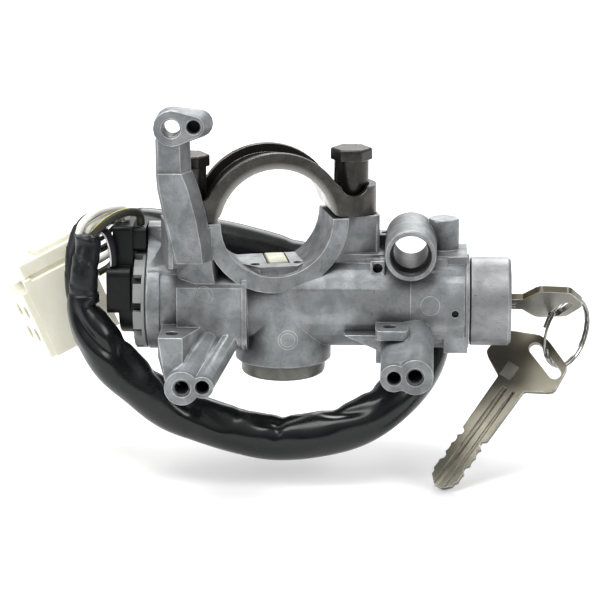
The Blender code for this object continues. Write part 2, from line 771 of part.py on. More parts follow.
def keyBlank():
    """The key flat in XY, its tip at the origin and its blade along +X."""
    line = [(0, 1.5 * mm)]
    for k, depth in enumerate(cutDepths):
        start = 1.6 * mm + k * cutPitch
        line += [(start + 0.9 * mm, bladeHalf - depth * mm), (start + 2.1 * mm, bladeHalf - depth * mm)]
        line += [(start + cutPitch - 0.3 * mm, bladeHalf - 0.35 * mm)]
    line += [(bladeLength, bladeHalf)]
    bow = [
        (bladeLength + bowLength * share, across) for share, across in (
            (0.03, bladeHalf + 0.5 * mm), (0.211, bowHalf - 1.6 * mm), (0.271, bowHalf - 0.3 * mm),
            (0.332, bowHalf), (0.704, bowHalf - 0.8 * mm), (0.774, bowHalf - 1.5 * mm),
            (0.814, bowHalf - 3 * mm), (0.97, 3.4 * mm), (1, 1.6 * mm),
        )
    ]
    upper = line + bow
    outline = upper + [(x, -y) for x, y in reversed(upper)]
    half = bladeThickness / 2
    body = prism(outline, -half, half)
    grooves = []
    for side in (-1, 1):
        for y, wide in ((0.9 * mm, 0.9 * mm), (-2.4 * mm, 0.5 * mm)):
            grooves.append(box(
                -1 * mm, bladeLength - 2 * mm, side * y - wide, side * y + wide,
                side * half - grooveDepth, side * half + grooveDepth,
            ))
    return carved(body, keySlot(half), *grooves)


def slotMiddle():
    """The middle of the slot through the bow, in the key's own plane."""
    return Vector((bladeLength + bowLength * 0.6583, bowHalf * 0.3696, 0))


def keySlot(half):
    """A long slot beside one slanted edge of the bow."""
    lean = math.atan2(0.35, 0.937)
    reach = slotSpan / 2
    outline = arc((0, reach), slotRadius, 0, 180, 8) + arc((0, -reach), slotRadius, 180, 360, 8)
    slot = prism(outline, -half - 1 * mm, half + 1 * mm)
    return moved(slot, Matrix.Translation(slotMiddle()) @ Matrix.Rotation(lean, 4, "Z"))


def lockedKeyPlace():
    return Matrix.Translation(lockAxis + Vector((keyTip, 0, 0))) @ Matrix.Rotation(-keyTilt, 4, "X")


def keyInLock():
    return moved(keyBlank(), lockedKeyPlace())


def ringFrame():
    """Where the key ring lies: its centre, its axle and two directions across it."""
    centre = lockedKeyPlace() @ slotMiddle() + Vector((2.625, 10.291, -11.65)) * mm
    axle = Vector((0.7708, -0.627, -0.1128)).normalized()
    across = axle.cross(Vector((0, 0, 1))).normalized()
    return centre, axle, across, across.cross(axle)


def keyRing():
    """A split ring: just under two turns of wire lying side by side."""
    centre, axle, across, rise = ringFrame()
    count = 44
    turns = 1.9
    points = []
    for k in range(count + 1):
        share = k / count
        angle = math.tau * (turns * share + 0.05)
        offset = ringPitch * (turns * share - turns / 2)
        points.append(centre + ringRadius * (math.cos(angle) * across + math.sin(angle) * rise) + offset * axle)
    return cable("key_ring", points, ringWire, 1)


def spareFrame():
    """The spare key's own frame: its tip, then the directions along and across it. Its slot hangs on the ring."""
    along = Vector((0.5636, 0.4384, 0.7001)).normalized()
    across = Vector((0.8126, -0.4464, -0.3746))
    across = (across - across.dot(along) * along).normalized()
    slot = ringFrame()[0] + Vector((-7.031, -6.561, -8.599)) * mm
    tip = slot - slotMiddle().x * along - slotMiddle().y * across
    return tip, along, across


def spareKey():
    tip, along, across = spareFrame()
    normal = along.cross(across)
    turn = Matrix((along, across, normal)).transposed().to_4x4()
    return moved(keyBlank(), Matrix.Translation(tip) @ turn)


def retainingPin():
    pin = pinPlace()
    start = pin + Vector((0, -caseRadius + 1.3 * mm, 0))
    return rod(start, pin + Vector((0, -collarRadius + 0.9 * mm, 0)), 0.9 * mm, 16)


# Steering lock

def boltPrism(gap, low, high):
    half = boltWidth / 2 + gap
    deep = boltDepth / 2 + gap
    corners = [(-half, -deep), (half, -deep), (half, deep), (-half, deep)]
    place = Matrix.Translation((boltX, lockY, 0)) @ Matrix.Rotation(boltTurn, 4, "Z")
    return moved(prism(corners, low, high), place)


def lockBolt():
    opening = camRadius + 0.4 * mm
    low = lockZ - opening - boltTravel
    body = boltPrism(0, low - boltBridge, boltTop)
    window = box(boltX - 20 * mm, boltX + 20 * mm, lockY - opening, lockY + opening, low, lockZ + opening)
    return carved(body, window)


def boltFoot():
    return lockZ - camRadius - 0.4 * mm - boltTravel - boltBridge


def capFloor():
    return chamberFoot - capDrop + capWall


def boltSpring():
    low = capFloor() + fit + springWire
    high = boltFoot() - fit - springWire
    count = springTurns * 10
    points = [
        Vector((
            boltX + springRadius * math.cos(math.tau * springTurns * k / count),
            lockY + springRadius * math.sin(math.tau * springTurns * k / count),
            low + (high - low) * k / count,
        ))
        for k in range(count + 1)
    ]
    return cable("bolt_spring", points, springWire, 1)


def boltCap():
    bottom = chamberFoot - capDrop
    return turned([
        (bottom, 0), (bottom, capRadius - 1.2 * mm), (bottom + 0.5 * mm, capRadius - 0.4 * mm),
        (bottom + 1.4 * mm, capRadius), (chamberFoot + 1.7 * mm, capRadius),
        (chamberFoot + 1.7 * mm, capRadius - capWall * 2), (capFloor(), capRadius - capWall * 2), (capFloor(), 0),
    ], (chamberX, lockY, 0), (0, 0, 1), 36)


def camShaft():
    left = switchLeft + 4.6 * mm
    right = plugLeft - 2.4 * mm - fit
    camLeft = boltX - camWidth / 2
    body = turned([
        (left, 0), (left, shaftRadius - 0.4 * mm), (left + 0.4 * mm, shaftRadius), (couplingLeft, shaftRadius),
        (couplingLeft, couplingRadius), (right, couplingRadius), (right, 0),
    ], lockAxis, (1, 0, 0), 32)
    lobe = prism(
        arc((lockY, lockZ), shaftRadius - 0.2 * mm, 200, 340, 8) + arc((lockY, lockZ), camRadius, 20, 160, 10),
        camLeft, camLeft + camWidth, "x",
    )
    slot = keyFrame(box(
        right - 3.2 * mm, right + 1 * mm, -3.6 * mm - fit, 3.6 * mm + fit, -1.2 * mm - fit, 1.2 * mm + fit))
    flats = [
        box(left - 1 * mm, spigotEnd - 4 * mm, lockY - 5 * mm, lockY + 5 * mm,
            lockZ + side * 2.2 * mm - (5 * mm if side < 0 else 0), lockZ + side * 2.2 * mm + (5 * mm if side > 0 else 0))
        for side in (-1, 1)
    ]
    return carved(joined(body, lobe), slot, *flats)


# Ignition switch

def switchBase():
    shoulder = switchLeft + 4.8 * mm
    body = turned([
        (switchLeft, 0), (switchLeft, switchNeckRadius - 0.6 * mm), (switchLeft + 0.6 * mm, switchNeckRadius),
        (shoulder, switchNeckRadius), (shoulder, switchRadius), (rimLeft - fit, switchRadius),
        (rimLeft - fit, spigotRadius), (spigotEnd, spigotRadius), (spigotEnd, 0),
    ], lockAxis, (1, 0, 0), 36)
    blockTop = lockZ + 25.6 * mm
    block = prism(rounded([
        (lockY - 7 * mm, lockZ + 4 * mm), (lockY + 10 * mm, lockZ + 4 * mm),
        (lockY + 10 * mm, blockTop), (lockY - 7 * mm, blockTop),
    ], 1.5 * mm, 3), switchLeft - 2 * mm, shoulder - 0.2 * mm, "x")
    shelf = prism(rounded([
        (lockY - 6 * mm, lockZ + clipRadius + 0.5 * mm), (lockY + 9 * mm, lockZ + clipRadius + 0.5 * mm),
        (lockY + 9 * mm, blockTop - 0.6 * mm), (lockY - 6 * mm, blockTop - 0.6 * mm),
    ], 1.5 * mm, 3), switchLeft, rimLeft - fit, "x")
    boot = prism(rounded([
        (lockY - 12 * mm, lockZ - 3 * mm), (lockY + 2 * mm, lockZ - 3 * mm),
        (lockY + 2 * mm, lockZ + 12.6 * mm), (lockY - 12 * mm, lockZ + 12.6 * mm),
    ], 3 * mm, 4), switchLeft - 3.8 * mm, switchLeft + 4 * mm, "x")
    cavity = lockTurned([(switchLeft + 2 * mm, rotorRadius + fit), (spigotEnd + 1 * mm, rotorRadius + fit)], 32)
    return carved(joined(body, block, shelf, boot), cavity)


def clipRing():
    inner = switchRadius + fit
    band = turned([
        (rimLeft - 1.3 * mm, inner), (rimLeft - 1.3 * mm, clipRadius), (rimLeft - fit, clipRadius),
        (rimLeft - fit, clipRadius - 1.5 * mm), (rimLeft + rimWidth - fit, clipRadius - 1.5 * mm),
        (rimLeft + rimWidth - fit, inner),
    ], lockAxis, (1, 0, 0), 33, closed=True)
    tabs = []
    for k in range(tabCount):
        middle = 194 + 360 * k / tabCount
        half = math.degrees(tabAngle) / 2
        outline = arc((lockY, lockZ), clipRadius, middle - half, middle + half, 2)
        outline += arc((lockY, lockZ), inner, middle + half, middle - half, 2)
        tabs.append(prism(outline, rimLeft - 1 * mm - tabLength, rimLeft - 1 * mm, "x"))
    return joined(band, *tabs)


def switchRotor():
    left = switchLeft + 3.6 * mm
    body = lockTurned([(left, rotorRadius), (spigotEnd - 1 * mm, rotorRadius)], 40)
    socket = lockTurned([(left + 0.8 * mm, shaftRadius + fit), (spigotEnd, shaftRadius + fit)], 24)
    return carved(body, socket)


def contactPlate():
    """The brass bridge that the rotor carries round over the fixed contacts."""
    left = switchLeft + 2.4 * mm
    disc = lockTurned([(left, 4.4 * mm), (left + 0.9 * mm, 4.4 * mm)], 24)
    arms = []
    for k in range(3):
        turn = math.tau * k / 3
        start = lockAxis + Vector((left + 0.45 * mm, 0, 0))
        end = start + Vector((0, 7.4 * mm * math.cos(turn), 7.4 * mm * math.sin(turn)))
        arms.append(hull([
            start + Vector((x, y, z)) for x in (-0.45 * mm, 0.45 * mm)
            for y in (-1.4 * mm, 1.4 * mm) for z in (-1.4 * mm, 1.4 * mm)
        ] + [
            end + Vector((x, y, z)) for x in (-0.45 * mm, 0.45 * mm)
            for y in (-1 * mm, 1 * mm) for z in (-1 * mm, 1 * mm)
        ]))
    return joined(disc, *arms)


# Harness and its connector

sleeveRoute = (
    (-61, -8, -25), (-61, -8, -29.4), (-59, -8, -36), (-54.9, -8, -43), (-49, -7, -50.5), (-41.5, -6, -58.3),
    (-33.4, -5, -64.7), (-23.5, -4, -69), (-11.9, -4, -72.7), (1.4, -4, -75), (16.4, -4, -73.7),
    (29.7, -2, -70), (40.5, 3, -63.4), (48.8, 12, -55.1), (52, 22, -46.2), (49.5, 29, -35.6),
    (41.6, 31, -28.1), (27, 31, -25.1), (10.7, 30, -24), (-5.2, 29, -19.7), (-18.7, 28, -16.1),
    (-30.5, 27, -13.9), (-41, 26, -11.8), (-47.8, 26, -11.5),
)
tapeRoute = ((-59.5, -6, -6.4), (-59.6, -6.2, -10), (-60.4, -7.4, -16), (-61, -8, -21), (-61, -8, -24.6))
tailRoute = (
    (-48.4, 25, -7.6), (-54.6, 23, -6.6), (-60.4, 17, -5.8), (-64, 10, -8), (-65.8, 5.6, -14),
    (-66.2, 3.8, -21.5), (-65.8, 3, -29), (-64, 2.8, -36), (-60.8, 2.8, -41),
)
backRoutes = (
    ((-48.8, 29.6, -12.4), (-53, 29, -13.6), (-57, 26.6, -17.3), (-61.6, 24.2, -19.3)),
    ((-48.8, 26.6, -13.6), (-53, 25.6, -15.2), (-56.6, 23, -19.6), (-61.2, 20.6, -22)),
    ((-48.8, 23.2, -13.4), (-52.6, 22.6, -16.3), (-55.2, 21.4, -22.6), (-59.4, 19.2, -25.2)),
    ((-48.8, 29.8, -8.8), (-54, 31.2, -10.6), (-59.2, 30.6, -15.2), (-63.4, 28.4, -17.2)),
)
whiteRoutes = (
    ((-62.4, -6.4, -5.7), (-61.4, -6.4, -2.6), (-57.6, -5, 0.9), (-52.8, -1, 1.6), (-48.9, 3.4, 0.6), (-48, 4.8, -1.6),
     (-48, 4.8, -3.5)),
    ((-59.8, -5.4, -5.7), (-59, -5.2, -3.8), (-55.8, -3, -1.7), (-52.8, 0, -1), (-51, 3.2, -1.2),
     (-50.6, 4.6, -2.4), (-50.6, 4.6, -3.5)),
)
yellowRoute = (
    (-57.4, -7.7, -5.4), (-55.4, -8.2, -3.2), (-51.6, -7, -0.2), (-47.8, -4.6, 1.1), (-44.8, -1.4, 0.8),
    (-43.2, 1.2, -0.8), (-42.9, 1.8, -4.1),
)
stripedRoute = (
    (-57, -4.2, -5.4), (-55.8, -4.5, -4.5), (-53.6, -5.4, -5.4), (-52, -5.9, -9), (-51.4, -5.4, -13),
    (-51.4, -5.2, -16.5),
)


def taper(item, start, steps):
    """Narrows the first points of a cable down to a share of its width."""
    for k in range(steps):
        item.data.splines[0].points[k].radius = start + (1 - start) * k / steps
    return item


def harness(materials):
    sleeve = cable("harness_sleeve", smoothRoute(sleeveRoute, 7 * mm), sleeveRadius, 3)
    finish(taper(sleeve, 0.6, 4), "harness_sleeve", materials["pvc"])
    finish(cable("sleeve_tape", smoothRoute(tapeRoute, 6 * mm), tapeRadius, 3), "sleeve_tape", materials["tape"])
    finish(cable("harness_tail", smoothRoute(tailRoute, 4 * mm), tailRadius), "harness_tail", materials["tape"])
    for k, route in enumerate(backRoutes):
        name = "connector_wire_%d" % (k + 1)
        finish(cable(name, smoothRoute(route, 2.5 * mm), thinWire, 1), name, materials["tape"])
    for k, route in enumerate(whiteRoutes):
        name = "white_wire_%d" % (k + 1)
        finish(cable(name, smoothRoute(route, 2 * mm), thinWire, 2), name, materials["connector"])
    finish(cable("yellow_striped_wire", smoothRoute(yellowRoute, 2.5 * mm), stripedWire),
           "yellow_striped_wire", materials["tape"])
    finish(cable("white_striped_wire", smoothRoute(stripedRoute, 2.5 * mm), stripedWire),
           "white_striped_wire", materials["tape"])


def connectorPlace():
    """The connector's own frame: from its mating face to its rear, up it, and into its depth."""
    corner = Vector((-72.3, 8, -51.3)) * mm
    along = Vector((0.8329, 0.4122, 0.3694)).normalized()
    rise = Vector((-0.3837, -0.0500, 0.9217))
    rise = (rise - rise.dot(along) * along).normalized()
    turn = Matrix((along, rise, along.cross(rise))).transposed().to_4x4()
    return Matrix.Translation(corner) @ turn


def terminalPlaces():
    return [(v * mm, w * mm) for v in (8.2, 16.8) for w in (-6.4, -15.6)]


def connector(materials):
    """The translucent housing at the harness's far end, with the sleeves of its terminals."""
    def block(*sides):
        return box(*(side * mm for side in sides))
    body = joined(
        block(3, 24, 0.8, 28, -23, -0.8), block(-2, 3.5, 0.4, 24, -22, -0.4), block(0, 24, 0, 28, -1.6, 0),
        block(0, 24, 0, 1.6, -23, -0.4),
        block(1.2, 24, 27, 33, -20, -2), block(9, 23, 32, 34.6, -17, -5),
    )
    cuts = [block(2.7, 25, 27, 28.6, -2.6, 1)]
    for v, w in terminalPlaces():
        cuts.append(rod((-3 * mm, v, w), (16 * mm, v, w), 2.4 * mm, 16))
    place = connectorPlace()
    finish(moved(carved(body, *cuts), place), "connector_body", materials["connector"])
    for k, (v, w) in enumerate(terminalPlaces()):
        sleeve = turned([
            (-0.6 * mm, 1.5 * mm), (-0.6 * mm, 2 * mm), (15.7 * mm, 2 * mm), (15.7 * mm, 0), (8 * mm, 0),
            (8 * mm, 1.5 * mm),
        ][::-1], (0, v, w), (1, 0, 0), 14, closed=False)
        finish(moved(sleeve, place), "terminal_%d" % (k + 1), materials["brass"])


def main():
    clearScene()
    materials = {
        "casting": makeMaterial("casting", (0.45, 0.46, 0.47), 0.45, 0.85),
        "steel": makeMaterial("dark steel", (0.06, 0.06, 0.06), 0.35, 0.8),
        "bright": makeMaterial("turned metal", (0.55, 0.56, 0.57), 0.3, 0.9),
        "key": makeMaterial("key metal", (0.33, 0.31, 0.27), 0.3, 0.9),
        "brass": makeMaterial("brass", (0.6, 0.42, 0.15), 0.3, 0.9),
        "spring": makeMaterial("spring steel", (0.3, 0.3, 0.3), 0.3, 0.9),
        "black": makeMaterial("black plastic", (0.015, 0.016, 0.016), 0.45, 0),
        "clip": makeMaterial("pale plastic", (0.5, 0.5, 0.48), 0.5, 0),
        "pvc": makeMaterial("black sleeve", (0.008, 0.009, 0.01), 0.25, 0),
        "tape": makeMaterial("black tape", (0.01, 0.011, 0.012), 0.35, 0),
        "connector": makeMaterial("connector plastic", (0.8, 0.78, 0.68), 0.4, 0),
    }
    finish(housing(), "housing", materials["casting"])
    finish(strap(), "clamp_strap", materials["steel"])
    for side, name in ((-1, "left"), (1, "right")):
        finish(shearBolt(side), "shear_bolt_" + name, materials["steel"])
    finish(cylinderCase(), "lock_cylinder_case", materials["bright"])
    finish(retainingPin(), "retaining_pin", materials["spring"])
    rotorAxis = pivotAt("rotor_axis", lockAxis)
    finish(lockPlug(), "lock_plug", materials["brass"], rotorAxis)
    for number in range(waferCount):
        finish(wafer(number), "wafer_%d" % (number + 1), materials["brass"], rotorAxis)
    finish(camShaft(), "cam_shaft", materials["casting"], rotorAxis)
    finish(switchRotor(), "switch_rotor", materials["clip"], rotorAxis)
    finish(contactPlate(), "contact_plate", materials["brass"], rotorAxis)
    finish(keyInLock(), "key_in_lock", materials["key"], rotorAxis)
    finish(keyRing(), "key_ring", materials["spring"])
    finish(spareKey(), "spare_key", materials["key"])
    boltAxis = pivotAt("bolt_axis", (boltX, lockY, boltTop))
    finish(lockBolt(), "lock_bolt", materials["spring"], boltAxis)
    finish(boltSpring(), "bolt_spring", materials["spring"])
    finish(boltCap(), "bolt_cap", materials["spring"])
    finish(switchBase(), "switch_base", materials["black"])
    finish(clipRing(), "switch_clip_ring", materials["clip"])
    harness(materials)
    connector(materials)


main()
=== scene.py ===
import json
import math

import bmesh
import bpy
from mathutils import Matrix, Vector, noise
from mathutils.bvhtree import BVHTree

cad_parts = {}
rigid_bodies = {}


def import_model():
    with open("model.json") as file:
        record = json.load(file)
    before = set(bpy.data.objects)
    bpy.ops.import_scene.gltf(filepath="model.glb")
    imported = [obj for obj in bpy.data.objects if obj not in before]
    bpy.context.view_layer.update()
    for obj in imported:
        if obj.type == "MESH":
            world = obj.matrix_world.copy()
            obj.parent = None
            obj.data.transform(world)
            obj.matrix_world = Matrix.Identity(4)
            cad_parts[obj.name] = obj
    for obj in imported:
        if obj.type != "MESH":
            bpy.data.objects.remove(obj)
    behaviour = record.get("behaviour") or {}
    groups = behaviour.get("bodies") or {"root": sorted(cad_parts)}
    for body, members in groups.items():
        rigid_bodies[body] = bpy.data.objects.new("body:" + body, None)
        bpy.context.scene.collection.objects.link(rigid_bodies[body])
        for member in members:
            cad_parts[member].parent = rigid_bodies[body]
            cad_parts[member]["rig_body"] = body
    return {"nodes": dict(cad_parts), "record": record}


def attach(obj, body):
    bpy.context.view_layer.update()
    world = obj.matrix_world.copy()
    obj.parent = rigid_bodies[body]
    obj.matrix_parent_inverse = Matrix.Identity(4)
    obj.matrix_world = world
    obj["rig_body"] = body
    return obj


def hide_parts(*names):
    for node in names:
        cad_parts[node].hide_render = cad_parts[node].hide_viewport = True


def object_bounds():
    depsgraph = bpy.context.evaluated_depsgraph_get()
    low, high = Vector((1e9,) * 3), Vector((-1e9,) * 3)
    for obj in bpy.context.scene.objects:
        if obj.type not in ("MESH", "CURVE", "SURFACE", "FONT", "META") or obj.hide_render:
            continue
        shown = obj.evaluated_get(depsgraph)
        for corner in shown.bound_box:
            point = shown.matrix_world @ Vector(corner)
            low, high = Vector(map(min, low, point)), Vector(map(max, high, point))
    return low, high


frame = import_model()
nodes = frame["nodes"]
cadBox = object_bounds()
mm = 0.001
scene = bpy.context.scene
scene.view_settings.view_transform = "Standard"
print("frame loaded")


# Camera and studio

cameraLook = {
    "target": (0.0096, 0, -0.0288), "toward": (0.0422, -0.9672, 0.2504), "distance": 0.9, "lens": 163.6,
    "sensor": 36, "nearest": 0.05,
}
studioLook = {
    "floor": (0.9, 0.9, 0.9), "floorFront": (0.2, 0.2, 0.21), "floorDrop": 0.4 * mm, "floorSize": 8,
    "floorRoughness": 0.9,
    # y where the floor has floorFront's colour, and y where it has its own
    "floorShade": (-0.75, -0.3),
    "skyTop": (1, 1, 1), "skyFront": (0.06, 0.062, 0.065), "skyBack": (0.75, 0.76, 0.77), "skyStrength": 0.8,
    # parts of the direction's y and z over which the sky changes
    "skyAround": (-0.6, 0.8), "skyUp": (0.1, 0.75),
    # every light faces this point
    "aim": (0, 0, -0.03),
    # place, size and power of each soft light, in metres and watts
    "lights": (
        ((-0.25, -0.25, 1.0), 0.8, 13),
        ((-0.9, -0.8, 0.45), 0.5, 3.5),
        ((0.95, -0.5, 0.55), 0.4, 3.5),
        ((0.1, 0.8, 0.6), 0.6, 5),
    ),
}


def makeCamera(look):
    data = bpy.data.cameras.new("camera")
    data.lens = look["lens"]
    data.sensor_width = look["sensor"]
    data.clip_start = look["nearest"]
    item = bpy.data.objects.new("camera", data)
    scene.collection.objects.link(item)
    toward = Vector(look["toward"]).normalized()
    item.location = Vector(look["target"]) + toward * look["distance"]
    item.rotation_mode = "QUATERNION"
    item.rotation_quaternion = (-toward).to_track_quat("-Z", "Y")
    scene.camera = item


def makeStudio(look):
    half = look["floorSize"] / 2
    low = cadBox[0].z - look["floorDrop"]
    mesh = bpy.data.meshes.new("floor")
    corners = [(-half, -half, low), (half, -half, low), (half, half, low), (-half, half, low)]
    mesh.from_pydata(corners, [], [(0, 1, 2, 3)])
    floor = bpy.data.objects.new("floor", mesh)
    scene.collection.objects.link(floor)
    paper = plain("floor", look["floor"], look["floorRoughness"])
    tree = paper.node_tree
    place = add(tree, "ShaderNodeTexCoord").outputs["Object"]
    away = level(tree, add(tree, "ShaderNodeSeparateXYZ", Vector=place).outputs["Y"], *look["floorShade"])
    tree.links.new(mixed(tree, away, look["floorFront"], look["floor"]),
                   tree.nodes["Principled BSDF"].inputs["Base Color"])
    mesh.materials.append(paper)
    for k, (place, size, power) in enumerate(look["lights"]):
        data = bpy.data.lights.new("light_%d" % k, "AREA")
        data.size = size
        data.energy = power
        item = bpy.data.objects.new(data.name, data)
        scene.collection.objects.link(item)
        item.location = place
        item.rotation_mode = "QUATERNION"
        toAim = Vector(look["aim"]) - Vector(place)
        item.rotation_quaternion = toAim.to_track_quat("-Z", "Y")
    world = bpy.data.worlds.new("studio")
    world.use_nodes = True
    scene.world = world
    tree = world.node_tree
    back = tree.nodes["Background"]
    direction = add(tree, "ShaderNodeTexCoord").outputs["Generated"]
    parts = add(tree, "ShaderNodeSeparateXYZ", Vector=direction)
    around = level(tree, parts.outputs["Y"], *look["skyAround"])
    around = mixed(tree, around, look["skyFront"], look["skyBack"])
    sky = mixed(tree, level(tree, parts.outputs["Z"], *look["skyUp"]), around, look["skyTop"])
    tree.links.new(sky, back.inputs["Color"])
    back.inputs["Strength"].default_value = look["skyStrength"]


# Material helpers

def plain(name, colour, roughness, metallic=0.0):
    made = bpy.data.materials.new(name)
    made.use_nodes = True
    shader = made.node_tree.nodes["Principled BSDF"]
    shader.inputs["Base Color"].default_value = (*colour, 1)
    shader.inputs["Roughness"].default_value = roughness
    shader.inputs["Metallic"].default_value = metallic
    return made


def add(tree, kind, settings=None, **values):
    # a node with its settings, and each named input linked or given its value
    made = tree.nodes.new(kind)
    for key, value in (settings or {}).items():
        setattr(made, key, value)
    for key, value in values.items():
        socket = made.inputs[key.replace("_", " ")]
        if isinstance(value, bpy.types.NodeSocket):
            tree.links.new(value, socket)
        else:
            socket.default_value = value
    return made


def ramp(tree, factor, stops):
    made = add(tree, "ShaderNodeValToRGB", Fac=factor)
    bar = made.color_ramp.elements
    # the places of the new stops are set in the loop below
    while len(bar) < len(stops):
        bar.new(0.5)
    for spot, (place, colour) in zip(bar, stops):
        spot.position = place
        spot.color = (*colour, 1)
    return made.outputs["Color"]


def level(tree, factor, low, high, least=0.0, most=1.0):
    made = add(tree, "ShaderNodeMapRange", Value=factor, From_Min=low, From_Max=high,
               To_Min=least, To_Max=most)
    return made.outputs["Result"]


def mixed(tree, factor, first, second, blend="MIX"):
    # of a mix node's sockets, 0 is the factor, 6 and 7 are the colours and output 2 is the mixed colour
    made = tree.nodes.new("ShaderNodeMix")
    made.data_type = "RGBA"
    made.blend_type = blend
    for place, value in ((0, factor), (6, first), (7, second)):
        if isinstance(value, bpy.types.NodeSocket):
            tree.links.new(value, made.inputs[place])
        else:
            made.inputs[place].default_value = value if place == 0 else (*value, 1)
    return made.outputs[2]


def math2(tree, operation, first, second=0.5):
    made = add(tree, "ShaderNodeMath", {"operation": operation})
    for place, value in enumerate((first, second)):
        if isinstance(value, bpy.types.NodeSocket):
            tree.links.new(value, made.inputs[place])
        else:
            made.inputs[place].default_value = value
    return made.outputs["Value"]


def cloud(tree, scale, detail=4.0, roughness=0.55, distortion=0.0, stretch=(1, 1, 1), turn=(0, 0, 0)):
    # noise on the piece's own coordinates, from about 0.3 to 0.7
    place = add(tree, "ShaderNodeTexCoord").outputs["Object"]
    place = add(tree, "ShaderNodeMapping", Vector=place, Scale=stretch, Rotation=turn).outputs["Vector"]
    return add(tree, "ShaderNodeTexNoise", Vector=place, Scale=scale, Detail=detail, Roughness=roughness,
               Distortion=distortion).outputs["Fac"]


# how alike the rounded and the real direction are where an edge starts and where it is full
edgeLook = {"samples": 6, "start": 0.995, "full": 0.86}


def roundedNormal(tree, radius):
    made = add(tree, "ShaderNodeBevel", {"samples": edgeLook["samples"]}, Radius=radius)
    return made.outputs["Normal"]


def edgeShare(tree, rounded):
    # 1 along the edges of the piece and 0 on its faces
    real = add(tree, "ShaderNodeNewGeometry").outputs["Normal"]
    alike = add(tree, "ShaderNodeVectorMath", {"operation": "DOT_PRODUCT"})
    tree.links.new(rounded, alike.inputs[0])
    tree.links.new(real, alike.inputs[1])
    return level(tree, alike.outputs["Value"], edgeLook["start"], edgeLook["full"])


def fromAxis(tree, turn, centre, flat):
    # distance from an axis: the piece's own coordinates are moved and turned, and one of them is left out
    place = add(tree, "ShaderNodeVectorMath", {"operation": "SUBTRACT"})
    tree.links.new(add(tree, "ShaderNodeTexCoord").outputs["Object"], place.inputs[0])
    place.inputs[1].default_value = centre
    turned = add(tree, "ShaderNodeMapping", {"vector_type": "TEXTURE"}, Vector=place.outputs["Vector"],
                 Rotation=(0, 0, turn))
    kept = add(tree, "ShaderNodeVectorMath", {"operation": "MULTIPLY"})
    tree.links.new(turned.outputs["Vector"], kept.inputs[0])
    kept.inputs[1].default_value = flat
    long = add(tree, "ShaderNodeVectorMath", {"operation": "LENGTH"})
    tree.links.new(kept.outputs["Vector"], long.inputs[0])
    return long.outputs["Value"]


# what every worn metal shares, unless its own look says otherwise
metalLook = {
    "metallic": 0.9, "stain": 0.5, "broad": 1.0, "specks": 0.0, "scratch": 240, "scratchWidth": 0.0035,
    # the edge radius and the wear level set the rounded edges painted bright, partly as wear and partly as a
    # painted highlight; deep and corner set the painted shade in deep corners; the bands round an axis are
    # painted shade or painted highlight
    "scratches": 0.5, "edge": 0.5 * mm, "wearAndHighlight": 1.0, "deep": 5 * mm, "corner": 0.4, "paintedLightBands": (),
    # detail, roughness and distortion of each noise, with the broad one's scale first, and the levels that
    # each is read between
    "blotchNoise": (5, 0.6, 0.4), "blotchStops": (0.36, 0.5, 0.64), "roughLevels": (0.35, 0.65),
    "stainNoise": (6, 0.7, 0.8), "stainLevels": (0.56, 0.66), "stainFiner": 3.7,
    "broadNoise": (55, 2), "broadLevels": (0.4, 0.6),
    "speckNoise": (2, 0.5), "speckLevels": (0.6, 0.68),
    "scratchNoise": (3, 0.7, 1.6), "scratchStretch": (0.35, 1, 2.2), "scratchTurn": (0.4, 0.7, 0.5),
    "wearAndHighlightLevels": (0.35, 0.6), "wearAndHighlightLeast": 0.35,
    "openSamples": 8, "openLevels": (0.15, 0.8),
    "grainDetail": 3, "grainShare": 0.6, "blotchShare": 0.8, "bumpDistance": 0.3 * mm,
}


